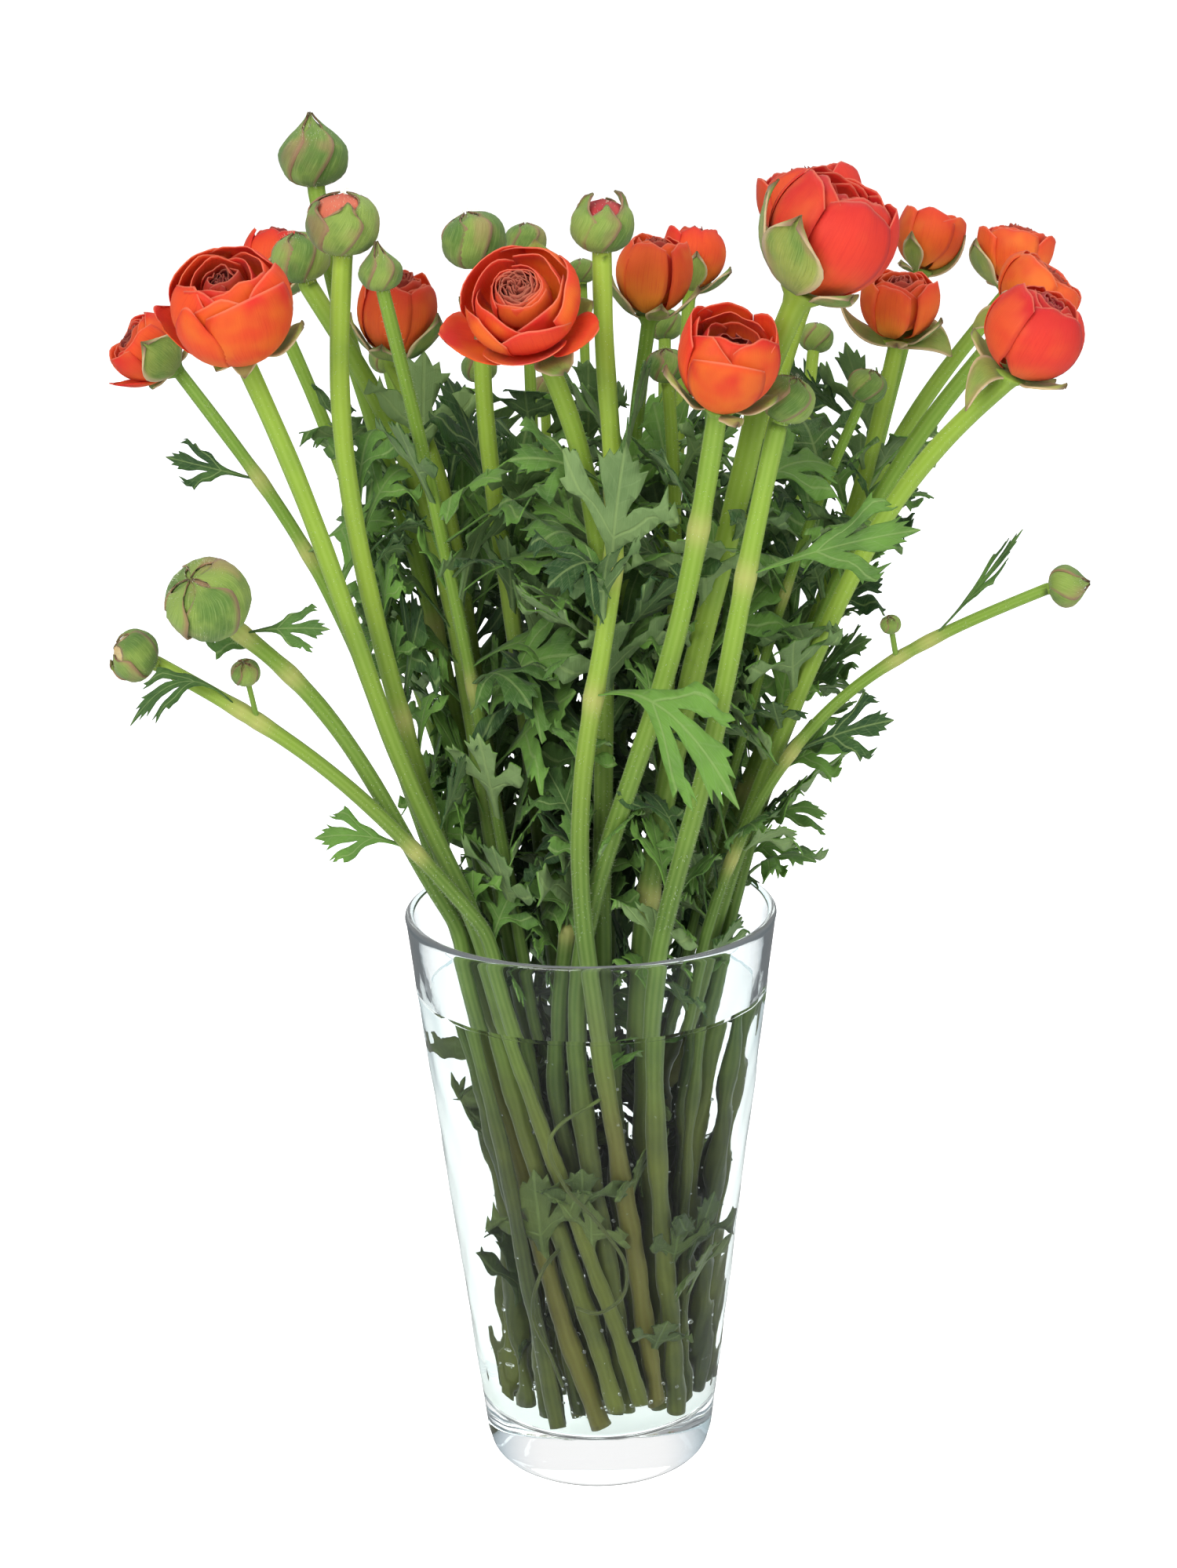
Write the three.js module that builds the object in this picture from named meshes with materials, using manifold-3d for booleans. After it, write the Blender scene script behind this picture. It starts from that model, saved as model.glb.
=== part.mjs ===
// A bouquet of red-orange ranunculus in a tapered glass vase with water.
// Millimetres, +Z up. The origin is the middle of the vase's underside, and the viewer stands at -Y.
//
// Every stem is a route chosen by hand, from its head down to the vase's mouth. The routes are then
// settled against each other and the glass, the way stems lean on each other in a vase, and leaves
// are set on them where there is room.

import * as THREE from "three";
import Module from "manifold-3d";

const wasm = await Module();
wasm.setup();

// ---------------------------------------------------------------- driving dimensions

const VASE = {
  height: 200, rimRadius: 63, footRadius: 39, wall: 3, floor: 19, fillet: 5, corner: 5, sides: 32,
};
const WATER_LEVEL = 172;
const GAP = 0.35; // between pieces that touch
const BLADE = 0.9; // thickness of petals, sepals and leaves along their middle
const STEM_SIDES = 5;
// The feet lie nearer the middle than the stems in the mouth do, the bunch is twisted between mouth
// and floor by turn, more or less for each stem (degrees), and some feet are caught higher.
const FOOT = { spread: 0.5, waist: 0.86, turn: 44, sway: 24, lift: 9 };

const SETTLE = {
  step: 6, rounds: 320, loosen: 170, clear: 2.5, near: 8, smooth: 0.22, firm: 0.16, pull: 0.035,
};
const THIN = 1.5; // how far a stem's rings may leave its settled curve
const LEAF_ROOM = { stem: 1.6, head: 2, leaf: 3.6, root: 9 };
const BUNCH = { radius: 60, spread: 0.24 }; // the foliage keeps this near the axis, wider higher up
const LEAF_FOLD = 0.5; // how far a leaf's halves droop away from its rib
const SEED = 20;

// Flowers: centre and direction of the bloom, its width, how tall it is for its width, how far
// round the petals close (degrees from the base), the stem's radius and the route down to the mouth.
const FLOWERS = [
  { name: "far_left", centre: [-143, 15, 390], face: [-0.7, -0.25, 0.6], across: 23, tall: 1.05, close: 118,
    stem: 2.2, route: [[-122, 8, 368], [-102, 2, 346], [-84, -5, 318], [-70, -10, 280], [-46, -16, 202]] },
  { name: "left_cup", centre: [-102, -75, 412], face: [-0.1, -0.5, 0.85], across: 36, tall: 0.98, close: 122,
    stem: 3, route: [[-94, -64, 382], [-86, -58, 358], [-75, -54, 320], [-64, -48, 276], [-40, -38, 202]] },
  { name: "left_behind", centre: [-101, 40, 416], face: [0.1, 0.3, 0.95], across: 22, tall: 1.1, close: 130,
    stem: 2.3, route: [[-93, 38, 385], [-84, 34, 355], [-70, 28, 312], [-54, 20, 264], [-36, 10, 202]] },
  { name: "left_small", centre: [-57, -22, 404], face: [0.15, -0.2, 0.97], across: 25, tall: 1.15, close: 135,
    stem: 2.2, route: [[-48, -20, 378], [-44, -18, 352], [-39, -12, 310], [-34, -6, 262], [-26, 0, 202]] },
  { name: "rose_centre", centre: [-17, -80, 412], face: [-0.2, -0.72, 0.66], across: 35, tall: 0.8,
    close: 112, stem: 3,
    route: [[-2, -66, 388], [3, -60, 362], [6, -56, 330], [6, -48, 282], [3, -36, 202]], loose: [200, 325] },
  { name: "centre_cup", centre: [23, -28, 415], face: [0.1, -0.15, 0.98], across: 24, tall: 1.12, close: 136,
    stem: 2.3, route: [[18, -24, 387], [15, -16, 356], [14, -8, 318], [12, 0, 272], [7, 8, 202]] },
  { name: "centre_behind", centre: [39, 68, 412], face: [0.1, 0.25, 0.96], across: 22, tall: 1.1, close: 130,
    stem: 2.2, route: [[35, 64, 384], [34, 58, 349], [30, 52, 312], [23, 42, 258], [12, 30, 202]] },
  { name: "right_front", centre: [43, -88, 396], face: [0.15, -0.42, 0.9], across: 30, tall: 1.12, close: 126,
    stem: 3.1, route: [[36, -82, 364], [35, -78, 338], [27, -70, 302], [14, -60, 262], [-5, -47, 202]] },
  { name: "tall_behind", centre: [72, -12, 436], face: [-0.15, 0.1, 0.98], across: 33, tall: 0.95, close: 120,
    stem: 3.3, route: [[66, -12, 405], [61, -11, 378], [54, -8, 342], [43, 0, 282], [25, 6, 202]] },
  { name: "tall_front", centre: [74, -78, 430], face: [0.45, -0.15, 0.88], across: 38, tall: 1.02, close: 134,
    stem: 3.7, route: [[61, -68, 398], [54, -62, 375], [44, -54, 335], [33, -46, 291], [16, -34, 202]] },
  { name: "right_behind", centre: [118, 50, 419], face: [0.25, 0.2, 0.95], across: 23, tall: 1.1, close: 120,
    stem: 2.4, route: [[111, 48, 392], [104, 44, 363], [95, 38, 328], [77, 28, 280], [46, 10, 202]] },
  { name: "right_low", centre: [100, -20, 404], face: [0.05, -0.2, 0.98], across: 25, tall: 1, close: 124,
    stem: 2.6, route: [[98, -18, 376], [92, -16, 350], [82, -12, 318], [64, -8, 270], [36, -4, 202]] },
  { name: "right_top", centre: [143, 28, 416], face: [0.15, 0.1, 0.98], across: 25, tall: 1, close: 112,
    stem: 2.6, route: [[126, 26, 388], [108, 22, 362], [91, 18, 332], [72, 12, 284], [48, 0, 202]] },
  { name: "right_middle", centre: [143, -26, 408], face: [0.62, -0.1, 0.78], across: 27, tall: 0.95,
    close: 116, stem: 2.7,
    route: [[122, -26, 387], [106, -25, 366], [90, -23, 339], [74, -20, 300], [46, -15, 202]] },
  { name: "right_ball", centre: [133, -78, 400], face: [0.45, -0.25, 0.86], across: 30, tall: 0.95,
    close: 140, stem: 2.9,
    route: [[114, -62, 378], [99, -53, 356], [85, -44, 329], [68, -35, 282], [40, -22, 202]] },
];

// Closed buds, each on its own stem, given the same way. A side bud is [height on the stem, its own
// centre, its width]: a small bud or a dried one that grew from a joint of that stem.
const BUDS = [
  { name: "highest_left", centre: [-83, 0, 450], face: [-0.05, 0, 1], across: 20.5, stem: 2.8,
    route: [[-82, 0, 425], [-76, -2, 392], [-62, -4, 351], [-50, -6, 308], [-34, -12, 202]] },
  { name: "tall_left", centre: [-70, -55, 433], face: [0.05, -0.15, 0.98], across: 20.5, stem: 3,
    route: [[-74, -52, 408], [-76, -50, 386], [-74, -46, 356], [-67, -40, 311], [-42, -26, 202]] },
  { name: "left_hidden", centre: [-87, -14, 420], face: [-0.2, -0.1, 0.97], across: 17, stem: 3,
    route: [[-76, -14, 398], [-64, -14, 375], [-48, -18, 351], [-42, -20, 310], [-28, -24, 202]] },
  { name: "left_pointed", centre: [-59, -60, 419], face: [-0.1, -0.1, 0.98], across: 12, stem: 2.1,
    route: [[-56, -56, 399], [-51, -48, 376], [-46, -40, 345], [-39, -34, 304], [-24, -30, 202]] },
  { name: "centre_left", centre: [-32, -35, 426], face: [-0.25, -0.05, 0.97], across: 18.5, stem: 2.8,
    route: [[-34, -34, 402], [-32, -32, 378], [-28, -28, 343], [-22, -22, 296], [-14, -14, 202]] },
  { name: "centre_back", centre: [-18, 60, 418], face: [0, 0.1, 1], across: 13, stem: 2,
    route: [[-18, 58, 388], [-17, 54, 350], [-15, 44, 296], [-11, 28, 202]] },
  { name: "tall_centre", centre: [7, -66, 432], face: [0.02, -0.1, 1], across: 17.5, stem: 2.9,
    route: [[4, -64, 406], [6, -63, 378], [14, -66, 350], [11, -70, 322], [1, -70, 293], [-4, -62, 258],
      [-3, -50, 202]] },
  { name: "far_back", centre: [1, 90, 405], face: [0, 0.2, 1], across: 9, stem: 1.7,
    route: [[2, 84, 369], [2, 76, 331], [1, 62, 283], [-2, 42, 202]] },
  { name: "left_round", centre: [-112, -86, 326], face: [-0.35, -0.62, 0.7], across: 24, stem: 2.6,
    route: [[-99, -68, 312], [-88, -62, 302], [-76, -55, 278], [-62, -50, 250], [-44, -40, 202]] },
  { name: "lowest_left", centre: [-139, -62, 304], face: [-0.85, -0.25, 0.4], across: 15, stem: 2.4,
    route: [[-120, -62, 295], [-102, -64, 286], [-78, -62, 267], [-56, -56, 242], [-38, -46, 202]],
    side: [[284, [-104, -70, 300], 8]] },
  { name: "right_near", centre: [61, -74, 381], face: [0.35, -0.1, 0.92], across: 15, stem: 3,
    route: [[55, -77, 364], [49, -80, 338], [43, -78, 298], [36, -68, 259], [20, -50, 202]] },
  { name: "right_leaning", centre: [88, -40, 380], face: [0.35, -0.05, 0.93], across: 11, stem: 1.6,
    route: [[78, -36, 357], [68, -32, 332], [58, -28, 296], [45, -22, 243], [34, -18, 202]] },
  { name: "centre_right", centre: [26, -45, 388], face: [-0.1, -0.1, 0.98], across: 11, stem: 2,
    route: [[29, -42, 360], [30, -38, 325], [26, -32, 283], [20, -24, 202]] },
  { name: "far_right", centre: [153, -30, 314], face: [0.95, -0.1, 0.15], across: 12, stem: 1.9,
    route: [[120, -34, 304], [91, -38, 294], [70, -38, 279], [50, -36, 242], [36, -33, 202]],
    side: [[294, [96, -41, 305], 5.5]] },
  { name: "right_back", centre: [82, 75, 382], face: [0.2, 0.3, 0.93], across: 11, stem: 2.1,
    route: [[79, 70, 353], [73, 62, 315], [57, 50, 267], [32, 32, 202]] },
  { name: "high_back", centre: [30, 98, 385], face: [0, 0.3, 0.95], across: 12, stem: 2.2,
    route: [[30, 93, 356], [28, 84, 318], [24, 68, 264], [15, 44, 202]] },
  { name: "left_back", centre: [-66, 56, 380], face: [-0.15, 0.3, 0.94], across: 11.5, stem: 2.2,
    route: [[-60, 50, 353], [-50, 42, 316], [-40, 32, 268], [-27, 18, 202]] },
  { name: "low_back", centre: [-13, 95, 363], face: [0, 0.3, 0.95], across: 10.5, stem: 1.8,
    route: [[-12, 88, 329], [-11, 74, 286], [-10, 44, 202]] },
  { name: "back_left", centre: [-36, 90, 372], face: [-0.1, 0.3, 0.95], across: 11.5, stem: 2,
    route: [[-34, 84, 337], [-30, 70, 288], [-20, 42, 202]] },
];

// A cut stub whose rounded top stands just above the mouth.
const STUB = { name: "stub", stem: 2.7, route: [[-7, -38, 205], [-13, -36, 186], [-16, -33, 168]] };

// The leaves that show against the white or lie over the front: stem, height on it, heading seen
// from above (degrees, 0 to the right, -90 to the viewer), rise, length, half width and droop.
const CHOSEN_LEAVES = [
  { on: "far_left", at: 322, heading: -22, rise: 38, length: 52, width: 4.2, droop: 0.32 },
  { on: "far_left", at: 346, heading: 176, rise: 14, length: 31, width: 2.8, droop: 0 },
  { on: "left_round", at: 300, heading: 170, rise: 40, length: 40, width: 3.4, droop: 0.1 },
  { on: "left_round", at: 312, heading: -20, rise: 12, length: 30, width: 3, droop: 0.1 },
  { on: "lowest_left", at: 286, heading: 198, rise: 52, length: 58, width: 1.9, droop: 0.75 },
  { on: "right_near", at: 330, heading: -18, rise: 24, length: 56, width: 3.6, droop: 0.12 },
  { on: "far_right", at: 297, heading: -8, rise: 46, length: 40, width: 1.6, droop: -0.15 },
  { on: "tall_centre", at: 292, heading: -32, rise: 24, length: 64, width: 5.4, droop: 0.75 },
  { on: "tall_centre", at: 352, heading: 205, rise: 40, length: 44, width: 5.4, droop: 0.35 },
  { on: "tall_centre", at: 330, heading: 232, rise: 30, length: 34, width: 4.6, droop: 0.5 },
  { on: "lowest_left", at: 236, heading: 180, rise: 26, length: 34, width: 2.6, droop: 0.3 },
  { on: "far_right", at: 262, heading: -12, rise: 28, length: 36, width: 3.8, droop: 0.15 },
  { on: "right_ball", at: 300, heading: 10, rise: 30, length: 34, width: 4, droop: 0.3 },
  { on: "right_middle", at: 250, heading: 5, rise: 34, length: 34, width: 3.4, droop: 0.2 },
];

// The rest are placed by a rule on every stem, between these heights.
// They start long and get shorter with each try.
const LEAF_RULE = {
  low: 206, high: 352, tries: 24, length: [58, 36], width: [7, 4.4], rise: [38, 80], droop: [0.1, 0.7],
};

const COLOURS = {
  glass: 0xdfeeea, water: 0xd6e6d8, green: 0x7f9c3c, bud: 0x7d9455,
  red: 0xe0502a, coral: 0xdd4238, orange: 0xdc7434,
};
const BLOOM_COLOUR = {
  tall_front: "coral", tall_behind: "coral", right_ball: "coral",
  right_top: "orange", right_middle: "orange", right_behind: "orange", right_low: "orange",
};

// ---------------------------------------------------------------- small tools

const vec = (p) => new THREE.Vector3(...p);
const lerp = THREE.MathUtils.lerp;
const rad = THREE.MathUtils.degToRad;

// Seeded random numbers from 0 to 1.
function randomFrom(seed) {
  let state = seed >>> 0;
  return () => {
    state = (state + 0x6d2b79f5) >>> 0;
    let t = Math.imul(state ^ (state >>> 15), 1 | state);
    t = (t + Math.imul(t ^ (t >>> 7), 61 | t)) ^ t;
    return ((t ^ (t >>> 14)) >>> 0) / 4294967296;
  };
}

// Two directions square to an axis and to each other.
function crossAxes(axis) {
  const hint = Math.abs(axis.z) < 0.9 ? new THREE.Vector3(0, 0, 1) : new THREE.Vector3(0, -1, 0);
  const side = new THREE.Vector3().crossVectors(hint, axis).normalize();
  const front = new THREE.Vector3().crossVectors(axis, side).normalize();
  return [side, front];
}

// ---------------------------------------------------------------- closed meshes and solids

// Collects points and triangles of one closed body.
class Body {
  constructor() {
    this.points = [];
    this.faces = [];
  }

  point(p) {
    this.points.push(p.x, p.y, p.z);
    return this.points.length / 3 - 1;
  }

  face(a, b, c) {
    this.faces.push(a, b, c);
  }

  solid() {
    const mesh = new wasm.Mesh({
      numProp: 3,
      vertProperties: new Float32Array(this.points),
      triVerts: new Uint32Array(this.faces),
    });
    const made = new wasm.Manifold(mesh);
    if (made.volume() > 0) return made;
    this.faces.reverse();
    return this.solid();
  }
}

// Joins solids, then keeps the one body that holds: scraps are dropped and sealed hollows filled.
function fuse(solids) {
  const joined = solids.reduce((sum, next) => sum.add(next));
  const bodies = joined.decompose();
  return bodies.reduce((best, next) => (next.volume() > best.volume() ? next : best));
}

function toGeometry(made) {
  const mesh = made.getMesh();
  const geometry = new THREE.BufferGeometry();
  geometry.setAttribute("position", new THREE.BufferAttribute(mesh.vertProperties, 3));
  geometry.setIndex(new THREE.BufferAttribute(mesh.triVerts, 1));
  return geometry;
}

// A round bar through points, with one radius for each point, made longer at its first end.
function bar(points, radii, sides, longer = 0) {
  const body = new Body();
  const rings = [];
  let side = null;
  points.forEach((p, i) => {
    const before = points[Math.max(i - 1, 0)];
    const after = points[Math.min(i + 1, points.length - 1)];
    const along = new THREE.Vector3().subVectors(after, before).normalize();
    side = side ? side.addScaledVector(along, -side.dot(along)).normalize() : crossAxes(along)[0];
    const front = new THREE.Vector3().crossVectors(along, side);
    const middle = p.clone().addScaledVector(along, i === 0 ? -longer : 0);
    const ring = [];
    for (let k = 0; k < sides; k++) {
      const turn = (2 * Math.PI * k) / sides;
      const q = middle.clone().addScaledVector(side, radii[i] * Math.cos(turn));
      ring.push(body.point(q.addScaledVector(front, radii[i] * Math.sin(turn))));
    }
    rings.push(ring);
    side = side.clone();
  });
  for (let i = 0; i + 1 < rings.length; i++) {
    for (let k = 0; k < sides; k++) {
      const next = (k + 1) % sides;
      body.face(rings[i][k], rings[i][next], rings[i + 1][next]);
      body.face(rings[i][k], rings[i + 1][next], rings[i + 1][k]);
    }
  }
  const last = rings[rings.length - 1];
  for (let k = 1; k + 1 < sides; k++) {
    body.face(rings[0][0], rings[0][k + 1], rings[0][k]);
    body.face(last[0], last[k], last[k + 1]);
  }
  return body.solid();
}

// A closed surface of revolution about an axis from a centre. The profile is a list of
// [radius, height], from pole to pole, and swell(turn, height) scales the radius.
function turned(centre, axis, profile, sides, swell = () => 1) {
  const body = new Body();
  const [side, front] = crossAxes(axis);
  const rings = profile.map(([radius, height]) => {
    if (radius === 0) return [body.point(centre.clone().addScaledVector(axis, height))];
    return Array.from({ length: sides }, (_, k) => {
      const turn = (2 * Math.PI * k) / sides;
      const r = radius * swell(turn, height);
      const q = centre.clone().addScaledVector(axis, height).addScaledVector(side, r * Math.cos(turn));
      return body.point(q.addScaledVector(front, r * Math.sin(turn)));
    });
  });
  for (let i = 0; i + 1 < rings.length; i++) {
    const [low, high] = [rings[i], rings[i + 1]];
    for (let k = 0; k < sides; k++) {
      const next = (k + 1) % sides;
      if (low.length > 1) body.face(low[k], low[next], high[next % high.length]);
      if (high.length > 1) body.face(low[k % low.length], high[next], high[k]);
    }
  }
  return body.solid();
}

// A blade from a grid of points, thick in the middle and sharp at its edges. Both faces are split
// into triangles alike, and the split turns at the middle, so that each corner has a thick point.
function blade(grid, thickness) {
  const body = new Body();
  const rows = grid.length - 1;
  const columns = grid[0].length - 1;
  const faces = [1, -1].map((sign) => grid.map((row, i) => row.map((p, j) => {
    const edge = i === 0 || j === 0 || i === rows || j === columns;
    if (edge) return sign > 0 ? body.point(p) : null;
    const along = new THREE.Vector3().subVectors(grid[i + 1][j], grid[i - 1][j]);
    const across = new THREE.Vector3().subVectors(grid[i][j + 1], grid[i][j - 1]);
    const normal = along.cross(across).normalize();
    return body.point(p.clone().addScaledVector(normal, (sign * thickness) / 2));
  })));
  faces[1] = faces[1].map((row, i) => row.map((id, j) => id ?? faces[0][i][j]));
  for (const [face, ids] of faces.entries()) {
    const add = face === 0 ? (a, b, c) => body.face(a, b, c) : (a, b, c) => body.face(a, c, b);
    for (let i = 0; i < rows; i++) {
      for (let j = 0; j < columns; j++) {
        const [a, b, c, d] = [ids[i][j], ids[i][j + 1], ids[i + 1][j + 1], ids[i + 1][j]];
        const low = i < rows / 2;
        const left = j < columns / 2;
        if (low === left) {
          add(a, b, c);
          add(a, c, d);
        } else {
          add(a, b, d);
          add(b, c, d);
        }
      }
    }
  }
  return body.solid();
}

// ---------------------------------------------------------------- the vase and its inside

const wallRadius = (z) => lerp(VASE.footRadius, VASE.rimRadius, z / VASE.height);
const innerRadius = (z) => wallRadius(z) - VASE.wall - Math.max(VASE.floor + VASE.fillet - z, 0);

function makeVase() {
  const { height, wall, floor, fillet, corner } = VASE;
  const profile = [
    [0, 0],
    [VASE.footRadius - corner, 0],
    [wallRadius(corner), corner],
    [wallRadius(height - 1), height - 1],
    [wallRadius(height) - wall / 2, height],
    [innerRadius(height - 1), height - 1],
    [innerRadius(floor + fillet), floor + fillet],
    [innerRadius(floor), floor],
    [0, floor],
  ];
  return turned(vec([0, 0, 0]), vec([0, 0, 1]), profile, VASE.sides);
}

// The water fills the vase to its level, with a plain hole round each stem.
function makeWater(stems) {
  const { floor, fillet } = VASE;
  const profile = [
    [0, floor + GAP],
    [innerRadius(floor) - GAP, floor + GAP],
    [innerRadius(floor + fillet) - GAP, floor + fillet + GAP],
    [innerRadius(WATER_LEVEL) - GAP, WATER_LEVEL],
    [0, WATER_LEVEL],
  ];
  let water = turned(vec([0, 0, 0]), vec([0, 0, 1]), profile, VASE.sides);
  for (const stem of stems) {
    const wet = stem.rings.filter((p, i) => i < 2 || stem.rings[i - 2].z < WATER_LEVEL);
    water = water.subtract(bar(wet, wet.map(() => stem.radius + GAP * 1.3), STEM_SIDES, 4));
  }
  return fuse([water]);
}

// ---------------------------------------------------------------- settling the stems

// Where a bloom or a bud sits on its stem, below its centre.
const SEAT = { bloom: 1.28, bud: 1.06 };
const NECK = 9; // a stem leaves its head halfway between the head's axis and its route, for so far

function headOf(plant) {
  const axis = vec(plant.face).normalize();
  const reach = (plant.across / 2) * (plant.tall ?? 1);
  const seat = (plant.close ? SEAT.bloom : SEAT.bud) * reach;
  return { centre: vec(plant.centre), axis, radius: plant.across / 2, reach, seat };
}

// Points along a stem from its foot up to its head.
function drawnRoute(plant, id) {
  const points = plant.route.map(vec);
  if (plant.centre) {
    const { centre, axis, seat } = headOf(plant);
    const top = centre.clone().addScaledVector(axis, -seat);
    const down = points[0].clone().sub(top).normalize().sub(axis).setLength(NECK);
    points.unshift(top, top.clone().add(down));
  }
  const mouth = points[points.length - 1];
  const turn = rad(FOOT.turn + FOOT.sway * Math.sin(2.4 * id));
  const foot = new THREE.Vector3(mouth.x, mouth.y, 0).multiplyScalar(FOOT.spread);
  foot.applyAxisAngle(new THREE.Vector3(0, 0, 1), turn);
  foot.z = VASE.floor + 1.2 + FOOT.lift * Math.max(Math.sin(1.9 * id), 0);
  const middle = foot.clone().lerp(mouth, 0.5);
  middle.x *= FOOT.waist;
  middle.y *= FOOT.waist;
  points.push(middle, foot);
  return new THREE.CatmullRomCurve3(points.reverse(), false, "centripetal");
}

// Moves the points of all stems until they lie clear of each other, of the heads and of the glass,
// while each stem stays smooth and near its drawn route.
function settle(plants) {
  const points = [];
  plants.forEach((plant, id) => {
    const curve = drawnRoute(plant, id);
    const count = Math.round(curve.getLength() / SETTLE.step);
    curve.getSpacedPoints(count).forEach((p, i) => {
      const held = plant.centre && i === count;
      points.push({ id, p, home: p.clone(), radius: plant.stem, held, first: i === 0, last: i === count });
    });
  });
  const stemPoints = points.length;
  plants.forEach((plant, id) => {
    if (!plant.centre) return;
    const { centre, radius } = headOf(plant);
    points.push({ id, p: centre, home: centre, radius: radius * 1.08, held: true });
  });
  let pairs = [];
  for (let round = 0; round < SETTLE.rounds; round++) {
    if (round % 10 === 0) pairs = nearPairs(points, stemPoints);
    const shift = points.map(() => new THREE.Vector3());
    for (const [a, b] of pairs) {
      const apart = new THREE.Vector3().subVectors(points[a].p, points[b].p);
      const short = points[a].radius + points[b].radius + SETTLE.clear - apart.length();
      if (short <= 0) continue;
      apart.setLength(short * 0.3);
      shift[a].add(apart);
      shift[b].sub(apart);
    }
    const [pull, smooth] = round < SETTLE.loosen ? [SETTLE.pull, SETTLE.smooth] : [0, SETTLE.firm];
    for (let i = 0; i < stemPoints; i++) {
      const { p, home, first, last } = points[i];
      if (!first && !last) {
        const middle = points[i - 1].p.clone().add(points[i + 1].p).multiplyScalar(0.5);
        shift[i].addScaledVector(middle.sub(p), smooth);
      }
      shift[i].addScaledVector(home.clone().sub(p), pull);
    }
    for (let i = 0; i < stemPoints; i++) {
      if (points[i].held) continue;
      points[i].p = points[i].p.clone().add(shift[i]);
      keepInVase(points[i]);
    }
  }
  return plants.map((plant, id) => points.slice(0, stemPoints).filter((q) => q.id === id).map((q) => q.p));
}

function keepInVase({ p, radius, home, first }) {
  if (first) p.z = home.z;
  if (p.z > VASE.height + 8) return;
  const most = innerRadius(Math.min(p.z, VASE.height)) - radius - SETTLE.clear;
  const out = Math.hypot(p.x, p.y);
  if (out <= most) return;
  p.x *= most / out;
  p.y *= most / out;
}

function nearPairs(points, stemPoints) {
  const pairs = [];
  for (let a = 0; a < stemPoints; a++) {
    for (let b = a + 1; b < points.length; b++) {
      if (points[a].id === points[b].id) continue;
      const reach = points[a].radius + points[b].radius + SETTLE.near;
      if (points[a].p.distanceToSquared(points[b].p) < reach * reach) pairs.push([a, b]);
    }
  }
  return pairs;
}

// The stem's point that is nearest to a height.
function pointAt(stem, z) {
  return stem.points.reduce((best, p) => (Math.abs(p.z - z) < Math.abs(best.z - z) ? p : best));
}

// The fewest of a stem's points that stay within THIN of all of them.
function thinned(points) {
  if (points.length < 3) return points;
  const line = new THREE.Line3(points[0], points[points.length - 1]);
  const foot = new THREE.Vector3();
  let worst = 0;
  let at = 0;
  points.forEach((p, i) => {
    const off = line.closestPointToPoint(p, true, foot).distanceTo(p);
    if (off > worst) [worst, at] = [off, i];
  });
  if (worst < THIN) return [points[0], points[points.length - 1]];
  return [...thinned(points.slice(0, at + 1)), ...thinned(points.slice(at)).slice(1)];
}

// ---------------------------------------------------------------- leaves

// Half of a leaf's cut outline: [share of the length, share of the half width]. A leaf is one arched
// blade: a narrow foot, a side lobe on each hand and a middle lobe, which all widen to a toothed end.
const RIB = { root: 0, fork: 0.42, heart: 0.66, upper: 0.86, tip: 1 };
const OUTLINE = {
  foot: [0, 0.3], neck: [0.36, 0.46], lobeLow: [0.6, 2.5], lobeTip: [0.8, 3.3], lobeHigh: [0.75, 2.0],
  lobeRib: [0.63, 1.85], notch: [0.57, 0.6], tooth: [0.85, 1.3],
};
const HALF_LEAF = [
  ["root", "fork", "foot"], ["foot", "fork", "neck"], ["neck", "fork", "lobeRib"],
  ["neck", "lobeRib", "lobeLow"], ["lobeLow", "lobeRib", "lobeTip"], ["lobeTip", "lobeRib", "lobeHigh"],
  ["lobeHigh", "lobeRib", "notch"],
  ["lobeRib", "fork", "notch"], ["fork", "heart", "notch"], ["notch", "heart", "tooth"],
  ["heart", "upper", "tooth"], ["tooth", "upper", "tip"],
];
const THICK = ["fork", "heart", "upper", "lobeRib"];

// The leaf's rib is a bow in one upright plane, and its halves droop away from it.
function leafSurface(root, leaf) {
  const heading = rad(leaf.heading);
  const rise = rad(leaf.rise);
  const out = new THREE.Vector3(Math.cos(heading), Math.sin(heading), 0).multiplyScalar(Math.cos(rise));
  out.z = Math.sin(rise);
  const side = new THREE.Vector3(-Math.sin(heading), Math.cos(heading), 0);
  return (along, across) => {
    const p = root.clone().addScaledVector(out, leaf.length * along).addScaledVector(side, across);
    p.z -= leaf.droop * leaf.length * along * along + (LEAF_FOLD * across * across) / leaf.length;
    return p;
  };
}

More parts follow.
